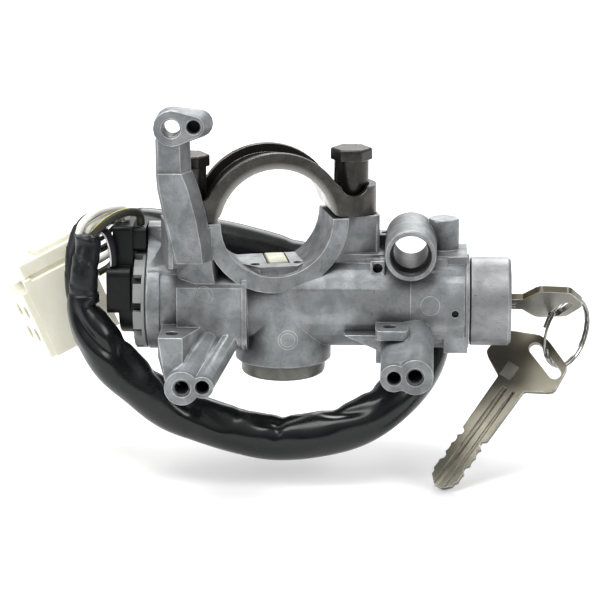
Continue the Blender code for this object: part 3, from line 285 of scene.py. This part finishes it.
def wornMetal(name, ownLook):
    # soft blotches, dark specks, painted shade in deep corners, scratches, and rounded edges painted bright,
    # partly as wear and partly as a painted highlight
    look = dict(metalLook, **ownLook)
    made = plain(name, look["mid"], look["roughness"][0], look["metallic"])
    tree = made.node_tree
    shader = tree.nodes["Principled BSDF"]
    blotch = cloud(tree, look["blotch"], *look["blotchNoise"])
    tones = (look["dark"], look["mid"], look["light"])
    colour = ramp(tree, blotch, tuple(zip(look["blotchStops"], tones)))
    stain = cloud(tree, look["blotch"] * look["stainFiner"], *look["stainNoise"])
    stain = level(tree, stain, *look["stainLevels"], 0, look["stain"])
    colour = mixed(tree, stain, colour, look["dark"])
    wide = level(tree, cloud(tree, *look["broadNoise"]), *look["broadLevels"], look["broad"], 1.0)
    speck = cloud(tree, look["grain"], *look["speckNoise"])
    speck = level(tree, speck, *look["speckLevels"], 0, look["specks"])
    colour = mixed(tree, speck, colour, look["speckColour"])
    # a scratch is where its noise is close to the middle
    scratch = cloud(tree, look["scratch"], *look["scratchNoise"], look["scratchStretch"], look["scratchTurn"])
    lines = level(tree, math2(tree, "ABSOLUTE", math2(tree, "SUBTRACT", scratch)),
                  look["scratchWidth"], 0.0, 0, look["scratches"])
    colour = mixed(tree, lines, colour, look.get("scratchColour", look["light"]))
    rounded = roundedNormal(tree, look["edge"])
    # the rounded edges get a brighter colour: partly real wear and partly a painted highlight
    uneven = level(tree, blotch, *look["wearAndHighlightLevels"], look["wearAndHighlightLeast"], look["wearAndHighlight"])
    wearAndHighlight = math2(tree, "MULTIPLY", edgeShare(tree, rounded), uneven)
    colour = mixed(tree, wearAndHighlight, colour, look["edgeWearAndHighlightColour"])
    # random broad patches of darker tone, and painted shade that darkens deep corners
    openness = add(tree, "ShaderNodeAmbientOcclusion", {"samples": look["openSamples"]},
                   Distance=look["deep"]).outputs["AO"]
    toneAndPaintedShade = math2(tree, "MULTIPLY", wide, level(tree, openness, *look["openLevels"], look["corner"], 1.0))
    toneAndPaintedShade = add(tree, "ShaderNodeCombineColor", Red=toneAndPaintedShade, Green=toneAndPaintedShade, Blue=toneAndPaintedShade).outputs["Color"]
    colour = mixed(tree, 1.0, colour, toneAndPaintedShade, "MULTIPLY")
    for turn, centre, flat, start, end, paintedTone in look["paintedLightBands"]:
        # a painted band of shade or highlight round an axis, full at start and gone at end
        paintedBand = level(tree, fromAxis(tree, turn, centre, flat), start, end, 1.0, 0.0)
        colour = mixed(tree, paintedBand, colour, paintedTone)
    tree.links.new(colour, shader.inputs["Base Color"])
    rough = level(tree, blotch, *look["roughLevels"], look["roughness"][1], look["roughness"][0])
    tree.links.new(rough, shader.inputs["Roughness"])
    grain = math2(tree, "MULTIPLY", cloud(tree, look["grain"], look["grainDetail"]), look["grainShare"])
    grain = math2(tree, "ADD", grain, math2(tree, "MULTIPLY", blotch, look["blotchShare"]))
    bump = add(tree, "ShaderNodeBump", Height=grain, Strength=look["bump"],
               Distance=look["bumpDistance"], Normal=rounded)
    tree.links.new(bump.outputs["Normal"], shader.inputs["Normal"])
    return made


# what every plastic shares, unless its own look says otherwise
plasticLook = {
    "edge": 0.4 * mm, "sockets": {}, "hazeNoise": (5, 0.65, 0.5), "hazeStops": (0.38, 0.68),
    "roughLevels": (0.35, 0.65), "grainDetail": 3, "bumpDistance": 0.2 * mm,
}


def softPlastic(name, ownLook):
    # a moulded or sheathed surface with a faint haze
    look = dict(plasticLook, **ownLook)
    made = plain(name, look["colour"], look["roughness"][0])
    tree = made.node_tree
    shader = tree.nodes["Principled BSDF"]
    haze = cloud(tree, look["blotch"], *look["hazeNoise"])
    colour = ramp(tree, haze, tuple(zip(look["hazeStops"], (look["colour"], look["light"]))))
    tree.links.new(colour, shader.inputs["Base Color"])
    tree.links.new(level(tree, haze, *look["roughLevels"], *look["roughness"]), shader.inputs["Roughness"])
    rounded = roundedNormal(tree, look["edge"])
    grain = cloud(tree, look["grain"], look["grainDetail"])
    bump = add(tree, "ShaderNodeBump", Height=grain, Strength=look["bump"],
               Distance=look["bumpDistance"], Normal=rounded)
    tree.links.new(bump.outputs["Normal"], shader.inputs["Normal"])
    for key, value in look["sockets"].items():
        shader.inputs[key].default_value = value
    return made


# Looks, one dictionary each

castLook = {
    "dark": (0.19, 0.2, 0.207), "mid": (0.25, 0.262, 0.27), "light": (0.3, 0.312, 0.32),
    "edgeWearAndHighlightColour": (0.84, 0.85, 0.86), "speckColour": (0.1, 0.1, 0.1), "roughness": (0.44, 0.56),
    "blotch": 170, "grain": 1300, "bump": 0.16, "metallic": 0.64, "stain": 0.35, "specks": 0.35,
    "scratches": 0.35, "broad": 0.74, "deep": 12 * mm, "corner": 0.3,
    # painted shade: the bore of the cross tube is painted dark
    "paintedLightBands": ((0, (46 * mm, 0, -10.5 * mm), (1, 0, 1), 6.8 * mm, 7 * mm, (0.05, 0.05, 0.05)),),
}
strapLook = {
    "dark": (0.045, 0.042, 0.038), "mid": (0.06, 0.056, 0.051), "light": (0.075, 0.07, 0.065),
    "edgeWearAndHighlightColour": (0.36, 0.34, 0.32), "speckColour": (0.02, 0.02, 0.02), "roughness": (0.24, 0.34),
    "blotch": 200, "grain": 1300, "bump": 0.06, "metallic": 0.85, "stain": 0.2, "specks": 0.2,
    "scratches": 0.15, "edge": 0.3 * mm,
    # painted highlight: the rounded lip round the inside of the strap is painted light where it catches the
    # light
    "paintedLightBands": ((math.radians(14), (0, 0, -1.5 * mm), (1, 0, 1), 18.9 * mm, 20.9 * mm, (0.33, 0.32, 0.3)),),
}
hexLook = dict(strapLook, paintedLightBands=(), dark=(0.035, 0.033, 0.03), mid=(0.045, 0.042, 0.038),
               light=(0.055, 0.052, 0.048))
turnedLook = {
    "dark": (0.2, 0.206, 0.212), "mid": (0.26, 0.267, 0.273), "light": (0.3, 0.307, 0.313),
    "edgeWearAndHighlightColour": (0.62, 0.62, 0.62), "speckColour": (0.08, 0.08, 0.08), "roughness": (0.42, 0.52),
    "blotch": 130, "grain": 1600, "bump": 0.1, "metallic": 0.65, "stain": 0.3, "specks": 0.2, "broad": 0.85,
    "scratch": 110, "scratches": 0.8, "scratchWidth": 0.006, "scratchColour": (0.1, 0.1, 0.1),
}
capLook = dict(turnedLook, dark=(0.12, 0.12, 0.106), mid=(0.155, 0.156, 0.138), light=(0.19, 0.19, 0.17),
               edgeWearAndHighlightColour=(0.4, 0.4, 0.34))
boltLook = dict(turnedLook, dark=(0.38, 0.37, 0.29), mid=(0.48, 0.47, 0.37), light=(0.54, 0.53, 0.43),
                metallic=0.55)
keyLook = {
    "dark": (0.118, 0.11, 0.084), "mid": (0.128, 0.12, 0.092), "light": (0.138, 0.129, 0.1),
    "edgeWearAndHighlightColour": (0.9, 0.88, 0.8), "speckColour": (0.1, 0.1, 0.1), "roughness": (0.3, 0.33), "blotch": 120,
    "grain": 1500, "bump": 0.02, "metallic": 0.82, "stain": 0.1, "specks": 0.1, "scratches": 0.2,
    "edge": 0.4 * mm, "deep": 2.5 * mm, "corner": 0.35,
}
springLook = {
    "dark": (0.16, 0.16, 0.15), "mid": (0.24, 0.24, 0.225), "light": (0.3, 0.3, 0.28),
    "edgeWearAndHighlightColour": (0.6, 0.6, 0.6), "speckColour": (0.1, 0.1, 0.1), "roughness": (0.2, 0.28), "blotch": 300,
    "grain": 1500, "bump": 0.05, "metallic": 0.95, "stain": 0.1, "scratches": 0.1, "edge": 0.1 * mm,
}
pinLook = dict(springLook, dark=(0.01, 0.01, 0.01), mid=(0.015, 0.015, 0.015), light=(0.02, 0.02, 0.02),
               edgeWearAndHighlightColour=(0.03, 0.03, 0.03))
brassLook = {
    "dark": (0.4, 0.27, 0.08), "mid": (0.62, 0.45, 0.16), "light": (0.72, 0.55, 0.24),
    "edgeWearAndHighlightColour": (0.85, 0.7, 0.4), "speckColour": (0.3, 0.2, 0.06), "roughness": (0.25, 0.35),
    "blotch": 300, "grain": 1500, "bump": 0.1,
}
blackLook = {
    "colour": (0.006, 0.0065, 0.0065), "light": (0.01, 0.0105, 0.0105), "roughness": (0.32, 0.45),
    "blotch": 140, "grain": 1500, "bump": 0.08, "sockets": {"Specular IOR Level": 0.18},
}
clipLook = {
    "colour": (0.2, 0.205, 0.205), "light": (0.24, 0.245, 0.245), "roughness": (0.4, 0.5), "blotch": 160,
    "grain": 1500, "bump": 0.05,
}
sleeveLook = {
    "colour": (0.005, 0.0055, 0.006), "light": (0.007, 0.0075, 0.008), "roughness": (0.16, 0.3), "blotch": 90,
    "grain": 260, "bump": 0.06, "sockets": {"Specular IOR Level": 0.36},
}
tapeLook = {
    "colour": (0.008, 0.009, 0.0095), "light": (0.013, 0.014, 0.015), "roughness": (0.25, 0.4), "blotch": 200,
    "grain": 500, "bump": 0.12, "sockets": {"Specular IOR Level": 0.28},
}
connectorLook = {
    "colour": (0.74, 0.725, 0.61), "light": (0.8, 0.785, 0.68), "roughness": (0.35, 0.5), "blotch": 90,
    "grain": 800, "bump": 0.04,
    "sockets": {"Subsurface Weight": 0.3, "Subsurface Scale": 0.003, "Subsurface Radius": (1.0, 0.95, 0.8)},
}
wireLook = {
    "colour": (0.8, 0.79, 0.73), "light": (0.84, 0.83, 0.78), "roughness": (0.35, 0.45), "blotch": 200,
    "grain": 900, "bump": 0.03,
}

materials = {
    "casting": wornMetal("casting", castLook),
    "dark_steel": wornMetal("dark steel", strapLook),
    "turned_metal": wornMetal("turned metal", turnedLook),
    "key_metal": wornMetal("key metal", keyLook),
    "spring_steel": wornMetal("spring steel", springLook),
    "brass": wornMetal("brass", brassLook),
    "bolt_finish": wornMetal("bolt finish", boltLook),
    "hex_finish": wornMetal("hex finish", hexLook),
    "cap_finish": wornMetal("cap finish", capLook),
    "pin_finish": wornMetal("pin finish", pinLook),
    "black_plastic": softPlastic("black plastic", blackLook),
    "pale_plastic": softPlastic("pale plastic", clipLook),
    "black_sleeve": softPlastic("black sleeve", sleeveLook),
    "black_tape": softPlastic("black tape", tapeLook),
    "connector_plastic": softPlastic("connector plastic", connectorLook),
    "white_wire": softPlastic("white wire", wireLook),
    "black_wire": softPlastic("black wire", blackLook),
}

makeCamera(cameraLook)
makeStudio(studioLook)
print("camera and studio made")


# Cords

def smoothRoute(points, spacing):
    # a centripetal curve through the route's points, read about every spacing
    route = [Vector(p) * mm for p in points]
    route = [2 * route[0] - route[1], *route, 2 * route[-1] - route[-2]]
    read = []
    for a, b, c, d in zip(route, route[1:], route[2:], route[3:]):
        t1 = math.sqrt((b - a).length)
        t2 = t1 + math.sqrt((c - b).length)
        t3 = t2 + math.sqrt((d - c).length)
        steps = max(1, round((c - b).length / spacing))
        for k in range(steps):
            t = t1 + (t2 - t1) * k / steps
            ab = a.lerp(b, t / t1)
            bc = b.lerp(c, (t - t1) / (t2 - t1))
            cd = c.lerp(d, (t - t2) / (t3 - t2))
            abc = ab.lerp(bc, t / t2)
            bcd = bc.lerp(cd, (t - t1) / (t3 - t1))
            read.append(abc.lerp(bcd, (t - t1) / (t2 - t1)))
    return [*read, route[-2]]


def tube(name, line, radius, sides, surface=None, facing=Vector(cameraLook["toward"])):
    # a closed tube along a line: surface gives the share of the radius at a distance along and an angle
    # round, and the angle is 0 on the side that faces the camera
    shape = bmesh.new()
    layer = shape.loops.layers.uv.new("around")
    rings, travelled = [], [0.0]
    for a, b in zip(line, line[1:]):
        travelled.append(travelled[-1] + (b - a).length)
    side = facing.copy()
    for k, point in enumerate(line):
        ahead = (line[min(k + 1, len(line) - 1)] - line[max(k - 1, 0)]).normalized()
        side = (side - side.dot(ahead) * ahead).normalized()
        other = ahead.cross(side)
        bend = line[min(k + 2, len(line) - 1)] + line[max(k - 2, 0)] - 2 * point
        ring = []
        for j in range(sides):
            angle = math.tau * j / sides
            out = side * math.cos(angle) + other * math.sin(angle)
            share = surface(travelled[k], angle, point + out * radius, bend.dot(out)) if surface else 1
            ring.append(shape.verts.new(point + out * radius * share))
        rings.append(ring)
    for k, (first, second) in enumerate(zip(rings, rings[1:])):
        for j in range(sides):
            face = shape.faces.new((first[j], first[(j + 1) % sides], second[(j + 1) % sides], second[j]))
            face.smooth = True
            for loop, (u, v) in zip(face.loops, ((k, j), (k, j + 1), (k + 1, j + 1), (k + 1, j))):
                loop[layer].uv = (travelled[u], v / sides)
    shape.faces.new(rings[0][::-1])
    shape.faces.new(rings[-1])
    bmesh.ops.recalc_face_normals(shape, faces=shape.faces)
    mesh = bpy.data.meshes.new(name)
    shape.to_mesh(mesh)
    shape.free()
    item = bpy.data.objects.new(name, mesh)
    scene.collection.objects.link(item)
    return item


sleeveRoute = (
    (-61, -8, -25), (-61, -8, -29.4), (-59, -8, -36), (-54.9, -8, -43), (-49, -7, -50.5), (-41.5, -6, -58.3),
    (-33.4, -5, -64.7), (-23.5, -4, -69), (-11.9, -4, -72.7), (1.4, -4, -75), (16.4, -4, -73.7),
    (29.7, -2, -70), (40.5, 3, -63.4), (48.8, 12, -55.1), (52, 22, -46.2), (49.5, 29, -35.6),
    (41.6, 31, -28.1), (27, 31, -25.1), (10.7, 30, -24), (-5.2, 29, -19.7), (-18.7, 28, -16.1),
    (-30.5, 27, -13.9), (-41, 26, -11.8), (-47.8, 26, -11.5),
)
tapeRoute = (
    (-59.5, -6, -6.4), (-59.6, -6.2, -10), (-60.4, -7.4, -16), (-61, -8, -21), (-61, -8, -25),
    (-60.7, -8, -28.4),
)
tailRoute = (
    (-48.4, 25, -7.6), (-54.6, 23, -6.6), (-60.4, 17, -5.8), (-64, 10, -8), (-65.8, 5.6, -14),
    (-66.2, 3.8, -21.5), (-65.8, 3, -29), (-64, 2.8, -36), (-60.8, 2.8, -41),
)
backRoutes = (
    ((-48.8, 29.6, -12.4), (-53, 29, -13.6), (-57, 26.6, -17.3), (-61.6, 24.2, -19.3)),
    ((-48.8, 26.6, -13.6), (-53, 25.6, -15.2), (-56.6, 23, -19.6), (-61.2, 20.6, -22)),
    ((-48.8, 23.2, -13.4), (-52.6, 22.6, -16.3), (-55.2, 21.4, -22.6), (-59.4, 19.2, -25.2)),
    ((-48.8, 29.8, -8.8), (-54, 31.2, -10.6), (-59.2, 30.6, -15.2), (-63.4, 28.4, -17.2)),
)
whiteRoutes = (
    ((-62.4, -6.4, -5.7), (-61.4, -6.4, -2.6), (-57.6, -5, 0.9), (-52.8, -1, 1.6), (-48.9, 3.4, 0.6),
     (-48, 4.8, -1.6), (-48, 4.8, -3.5)),
    ((-59.8, -5.4, -5.7), (-59, -5.2, -3.8), (-55.8, -3, -1.7), (-52.8, 0, -1), (-51, 3.2, -1.2),
     (-50.6, 4.6, -2.4), (-50.6, 4.6, -3.5)),
)
yellowRoute = (
    (-57.4, -7.7, -5.4), (-55.4, -8.2, -3.2), (-51.6, -7, -0.2), (-47.8, -4.6, 1.1), (-44.8, -1.4, 0.8),
    (-43.2, 1.2, -0.8), (-42.9, 1.8, -4.1),
)
stripedRoute = (
    (-57, -4.2, -5.4), (-55.8, -4.5, -4.5), (-53.6, -5.4, -5.4), (-52, -5.9, -9), (-51.4, -5.4, -13),
    (-51.4, -5.2, -16.5),
)

sleeveShape = {
    "radius": 7.6 * mm, "sides": 80, "spacing": 0.9 * mm, "taper": 24 * mm, "taperStart": 0.66,
    # creases on the inner side of a bend, full where the bend is at least creaseBend
    "creaseDepth": 0.3, "creaseSpacing": 17 * mm, "creaseBend": 0.15 * mm, "creaseSharpness": 4,
    # how far the creases stray from their spacing, and the scale of that and of the slow waves
    "wander": 2.5, "wanderScale": 40, "waves": 0.05, "waveScale": 38, "waveRound": 0.9,
    # a fold's raised rim: its share of the fold's depth and its distance from the middle in widths
    "rim": 0.35, "rimAt": 2.2,
    # single folds: distance along, half length, angle there, its change over the half length, depth, width
    "folds": (
        (13 * mm, 14 * mm, 0.1, -0.5, 0.24, 0.22), (27 * mm, 12 * mm, -0.8, 0.15, 0.42, 0.72),
        (47 * mm, 13 * mm, -1.1, 0.7, 0.24, 0.3), (62 * mm, 12 * mm, -0.6, 0.4, 0.12, 0.26),
        (88 * mm, 14 * mm, -1.2, -0.4, 0.16, 0.3), (112 * mm, 12 * mm, -1.0, 0.5, 0.14, 0.26),
    ),
}
wrapShape = {
    "tapeRadius": 4.9 * mm, "tapeSides": 56, "tailRadius": 2.6 * mm, "tailSides": 40, "spacing": 0.6 * mm,
    # share of the radius at a turn's start, its fall over the turn, and the turns' distance
    "outer": 1.03, "step": 0.11, "pitch": 8.5 * mm,
    "wander": 0.25, "wanderScale": 90, "wrinkle": 0.035, "wrinkleScale": (90, 90, 420),
    # share of the radius at the top of the tape, and how far down it has grown to the whole
    "narrow": 0.84, "widen": 18 * mm,
}
# radius, spacing along the route and sides of each kind of wire
wireShape = {"rear": (1.2 * mm, 0.7 * mm, 20), "pale": (1.28 * mm, 0.5 * mm, 24),
             "striped": (1.34 * mm, 0.5 * mm, 24)}
# width and place of each stripe as shares of a turn, from the side that faces the camera
yellowStripe = {"colour": (0.035, 0.035, 0.028), "stripe": (0.62, 0.55, 0.06), "width": 0.09, "at": 0.8}
whiteStripe = {"colour": (0.012, 0.012, 0.014), "stripe": (0.75, 0.75, 0.75), "width": 0.09, "at": 0.06}


def sleeveSurface(along, angle, place, inward):
    look = sleeveShape
    share = 1.0
    if along < look["taper"]:
        share = look["taperStart"] + (1 - look["taperStart"]) * math.sin(along / look["taper"] * math.pi / 2)
    wander = noise.noise(place * look["wanderScale"]) * look["wander"]
    ripple = 0.5 + 0.5 * math.sin(math.tau * along / look["creaseSpacing"] + wander)
    # the inner side of a bend is creased most
    inner = min(1.0, max(0.0, inward / look["creaseBend"]))
    soft = noise.noise(Vector((along * look["waveScale"], math.cos(angle) * look["waveRound"],
                               math.sin(angle) * look["waveRound"])))
    change = look["waves"] * soft - look["creaseDepth"] * inner * ripple ** look["creaseSharpness"]
    turned = (angle + math.pi) % math.tau - math.pi
    for middle, half, at, drift, depth, width in look["folds"]:
        reach = abs(along - middle) / half
        if reach < 1:
            off = (turned - at - drift * (along - middle) / half) / width
            rim = look["rim"] * math.exp(-(off - look["rimAt"]) ** 2 / 2)
            change += depth * (1 - reach ** 2) ** 2 * (rim - math.exp(-off * off))
    return share * (1 + change)


def wrapSurface(along, angle, place, inward):
    look = wrapShape
    stray = look["wander"] * noise.noise(place * look["wanderScale"])
    turn = (along / look["pitch"] + angle / math.tau + stray) % 1
    wrinkle = noise.noise(Vector([c * scale for c, scale in zip(place, look["wrinkleScale"])]))
    return look["outer"] - look["step"] * turn + look["wrinkle"] * wrinkle


def tapeSurface(along, angle, place, inward):
    grown = min(1.0, along / wrapShape["widen"])
    narrow = wrapShape["narrow"] + (1 - wrapShape["narrow"]) * grown
    return wrapSurface(along, angle, place, inward) * narrow


def stripedWire(name, look):
    # a wire's skin with one stripe along it
    colour, stripe = look["colour"], look["stripe"]
    made = softPlastic(name, dict(blackLook, colour=colour, light=colour))
    tree = made.node_tree
    shader = tree.nodes["Principled BSDF"]
    spot = add(tree, "ShaderNodeUVMap", {"uv_map": "around"}).outputs["UV"]
    around = add(tree, "ShaderNodeSeparateXYZ", Vector=spot).outputs["Y"]
    around = math2(tree, "FRACT", math2(tree, "ADD", around, 0.5 - look["at"]))
    away = math2(tree, "ABSOLUTE", math2(tree, "SUBTRACT", around, 0.5))
    inside = math2(tree, "LESS_THAN", away, look["width"] / 2)
    tree.links.new(mixed(tree, inside, colour, stripe), shader.inputs["Base Color"])
    return made


def skin(item, node, slotName, material=None):
    # the piece gets its finish, rides with the object and stands for its node
    item.data.materials.clear()
    item.data.materials.append(material or materials[slotName])
    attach(item, "body")
    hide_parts(node)
    return item


def wire(name, route, kind):
    radius, spacing, sides = wireShape[kind]
    return tube(name, smoothRoute(route, spacing), radius, sides)


sleeveLine = smoothRoute(sleeveRoute, sleeveShape["spacing"])
sleeve = skin(tube("sleeve", sleeveLine, sleeveShape["radius"], sleeveShape["sides"], sleeveSurface),
              "harness_sleeve", "black_sleeve")
tape = tube("tape_wrap", smoothRoute(tapeRoute, wrapShape["spacing"]), wrapShape["tapeRadius"],
            wrapShape["tapeSides"], tapeSurface)
skin(tape, "sleeve_tape", "black_tape")
tailLine = smoothRoute(tailRoute, wrapShape["spacing"])
tail = tube("tail_wrap", tailLine, wrapShape["tailRadius"], wrapShape["tailSides"], wrapSurface)
skin(tail, "harness_tail", "black_tape")
yellowSkin = stripedWire("dark wire with yellow line", yellowStripe)
whiteSkin = stripedWire("black wire with white line", whiteStripe)
backSkins = (materials["black_wire"], materials["white_wire"], yellowSkin, whiteSkin)
for k, (route, finish) in enumerate(zip(backRoutes, backSkins), 1):
    rear = wire("rear_wire_%d" % k, route, "rear")
    skin(rear, "connector_wire_%d" % k, "black_tape", finish)
for k, route in enumerate(whiteRoutes, 1):
    skin(wire("pale_wire_%d" % k, route, "pale"), "white_wire_%d" % k, "white_wire")
yellow = wire("wire_yellow_line", yellowRoute, "striped")
skin(yellow, "yellow_striped_wire", "black_wire", yellowSkin)
striped = wire("wire_white_line", stripedRoute, "striped")
skin(striped, "white_striped_wire", "black_wire", whiteSkin)

print("cords made")


# Solids with smooth round faces, and the finishes of the rest

nodeSlots = {part["node"]: part.get("material_slot") for part in frame["record"]["subparts"]}
ownFinish = {
    "lock_bolt": "bolt_finish", "bolt_cap": "cap_finish", "retaining_pin": "pin_finish",
    "shear_bolt_left": "hex_finish", "shear_bolt_right": "hex_finish",
}
smoothLook = {
    "angle": math.radians(28), "merge": 1e-6, "flat": math.radians(1), "weight": 100,
    "corner": math.radians(50), "steps": 3, "profile": 0.5,
    # how far the corners of a solid are rounded
    "round": {
        "clamp_strap": 0.9 * mm, "shear_bolt_left": 0.35 * mm, "shear_bolt_right": 0.35 * mm,
        "lock_bolt": 0.8 * mm, "bolt_cap": 0.5 * mm,
    },
}


def dressed(name, look=smoothLook):
    # a copy of a solid whose round faces are shaded smooth, standing for it
    source = nodes[name]
    shape = bmesh.new()
    shape.from_mesh(source.data)
    bmesh.ops.remove_doubles(shape, verts=shape.verts, dist=look["merge"])
    bmesh.ops.dissolve_limit(shape, angle_limit=look["flat"], verts=shape.verts, edges=shape.edges)
    if name in look["round"]:
        corners = [edge for edge in shape.edges
                   if edge.calc_face_angle(0) > look["corner"] and edge.is_convex]
        bmesh.ops.bevel(shape, geom=corners, offset=look["round"][name], segments=look["steps"],
                        profile=look["profile"], affect="EDGES", clamp_overlap=True)
    mesh = bpy.data.meshes.new("dressed_" + name)
    shape.to_mesh(mesh)
    shape.free()
    mesh.shade_smooth()
    mesh.set_sharp_from_angle(angle=look["angle"])
    item = bpy.data.objects.new("dressed_" + name, mesh)
    scene.collection.objects.link(item)
    even = item.modifiers.new("even", "WEIGHTED_NORMAL")
    even.keep_sharp = True
    even.weight = look["weight"]
    mesh.materials.append(materials[ownFinish.get(name) or nodeSlots[name]])
    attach(item, source["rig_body"])
    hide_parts(name)
    return item


dressedNames = (
    "housing", "clamp_strap", "shear_bolt_left", "shear_bolt_right", "lock_cylinder_case", "lock_plug",
    "key_in_lock", "key_ring", "spare_key", "lock_bolt", "bolt_cap", "switch_base", "switch_clip_ring",
)
solids = {name: dressed(name) for name in dressedNames}
for name, item in nodes.items():
    if not item.hide_render:
        item.data.materials.clear()
        item.data.materials.append(materials[ownFinish.get(name) or nodeSlots[name]])
print("finishes given")


# Marks that the mould left, threads in the legs' holes and the key's knurled patch

markLook = {
    "wire": 0.14 * mm, "sides": 8, "sink": 0.03 * mm, "points": 48,
    # y in front of the housing from which the rings are laid on it
    "front": -0.1,
    # x and z of each mark, and the radii of its rings
    "rings": (
        (-21 * mm, -23.8 * mm, (3 * mm, 1.7 * mm)), (52.5 * mm, -27.5 * mm, (3.1 * mm,)),
        (6.1 * mm, -39.6 * mm, (3.2 * mm, 2.3 * mm)),
    ),
}
threadLook = {
    "wire": 0.24 * mm, "sides": 6, "points": 24, "pitch": 0.8 * mm, "depth": 9 * mm, "radius": 2.6 * mm,
    # y of the legs' faces, and how far behind them the thread starts
    "face": -34 * mm, "start": 0.7 * mm,
    # x and z of each hole
    "holes": ((-27 * mm, -49.8 * mm), (47.9 * mm, -45.2 * mm)),
}
knurlLook = {
    "rows": 9, "columns": 7, "pitch": 0.55 * mm, "bar": 0.3 * mm, "height": 0.24 * mm,
    "turn": math.radians(45),
    # the blade's tip, the directions along and across it, the patch's place from the tip, half the thickness
    "tip": (55.801 * mm, -10.131 * mm, -89.607 * mm), "along": (0.5636, 0.4384, 0.7001),
    "across": (0.8126, -0.4464, -0.3746), "at": (46.4 * mm, -3 * mm), "half": 1.1 * mm,
}


def joinedMesh(name, items, slotName):
    # one plain piece of several, with the slot's finish
    shape = bmesh.new()
    for item in items:
        shape.from_mesh(item.data)
        bpy.data.objects.remove(item)
    mesh = bpy.data.meshes.new(name)
    shape.to_mesh(mesh)
    shape.free()
    mesh.materials.append(materials[slotName])
    item = bpy.data.objects.new(name, mesh)
    scene.collection.objects.link(item)
    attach(item, "body")


def mouldMarks(look):
    carrier = solids["housing"].data
    faces = [tuple(face.vertices) for face in carrier.polygons]
    tree = BVHTree.FromPolygons([corner.co for corner in carrier.vertices], faces)
    rings = []
    for x, z, radii in look["rings"]:
        for radius in radii:
            line = []
            for k in range(look["points"] + 2):
                angle = math.tau * k / look["points"]
                start = Vector((x + radius * math.cos(angle), look["front"], z + radius * math.sin(angle)))
                place, normal = tree.ray_cast(start, Vector((0, 1, 0)))[:2]
                line.append(place - normal * look["sink"])
            rings.append(tube("ring", line, look["wire"], look["sides"]))
    joinedMesh("mould_marks", rings, "casting")


def threads(look):
    turns = []
    for x, z in look["holes"]:
        line = []
        steps = round(look["depth"] / look["pitch"] * look["points"])
        for k in range(steps + 1):
            angle = math.tau * k / look["points"]
            line.append(Vector((x + look["radius"] * math.cos(angle),
                                look["face"] + look["start"] + look["pitch"] * k / look["points"],
                                z + look["radius"] * math.sin(angle))))
        turns.append(tube("turn", line, look["wire"], look["sides"]))
    joinedMesh("hole_threads", turns, "casting")


def knurl(look):
    # small bars set out on a grid by geometry nodes, on the face of the spare key
    tree = bpy.data.node_groups.new("knurl", "GeometryNodeTree")
    inputs = (
        ("Rows", "NodeSocketInt", look["rows"]), ("Columns", "NodeSocketInt", look["columns"]),
        ("Pitch", "NodeSocketFloat", look["pitch"]),
        ("Bar", "NodeSocketVector", (look["bar"], look["bar"], look["height"])),
        ("Turn", "NodeSocketFloat", look["turn"]),
    )
    values = {}
    for label, kind, value in inputs:
        tree.interface.new_socket(label, in_out="INPUT", socket_type=kind)
        values[label] = value
    tree.interface.new_socket("Geometry", in_out="OUTPUT", socket_type="NodeSocketGeometry")
    given = tree.nodes.new("NodeGroupInput").outputs
    grid = add(tree, "GeometryNodeMeshGrid")
    tree.links.new(math2(tree, "MULTIPLY", given["Rows"], given["Pitch"]), grid.inputs["Size X"])
    tree.links.new(math2(tree, "MULTIPLY", given["Columns"], given["Pitch"]), grid.inputs["Size Y"])
    tree.links.new(given["Rows"], grid.inputs["Vertices X"])
    tree.links.new(given["Columns"], grid.inputs["Vertices Y"])
    bar = add(tree, "GeometryNodeMeshCube", Size=given["Bar"])
    turn = add(tree, "ShaderNodeCombineXYZ", Z=given["Turn"])
    spread = add(tree, "GeometryNodeInstanceOnPoints", Points=grid.outputs["Mesh"],
                 Instance=bar.outputs["Mesh"], Rotation=turn.outputs["Vector"])
    real = add(tree, "GeometryNodeRealizeInstances", Geometry=spread.outputs["Instances"])
    coated = add(tree, "GeometryNodeSetMaterial", Geometry=real.outputs["Geometry"])
    coated.inputs["Material"].default_value = materials["key_metal"]
    out = tree.nodes.new("NodeGroupOutput")
    tree.links.new(coated.outputs["Geometry"], out.inputs["Geometry"])
    holder = bpy.data.objects.new("knurl_holder", bpy.data.meshes.new("knurl_holder"))
    scene.collection.objects.link(holder)
    modifier = holder.modifiers.new("knurl", "NODES")
    modifier.node_group = tree
    for socket in tree.interface.items_tree:
        if socket.item_type == "SOCKET" and socket.in_out == "INPUT":
            modifier[socket.identifier] = values[socket.name]
    graph = bpy.context.evaluated_depsgraph_get()
    mesh = bpy.data.meshes.new_from_object(holder.evaluated_get(graph))
    bpy.data.objects.remove(holder)
    along = Vector(look["along"]).normalized()
    across = Vector(look["across"])
    across = (across - across.dot(along) * along).normalized()
    normal = along.cross(across)
    centre = Vector(look["tip"]) + along * look["at"][0] + across * look["at"][1]
    centre -= normal * look["half"]
    mesh.transform(Matrix.Translation(centre) @ Matrix((along, across, normal)).transposed().to_4x4())
    item = bpy.data.objects.new("key_knurl", mesh)
    scene.collection.objects.link(item)
    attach(item, "spare")


mouldMarks(markLook)
threads(threadLook)
knurl(knurlLook)
print("marks, threads and knurl made")
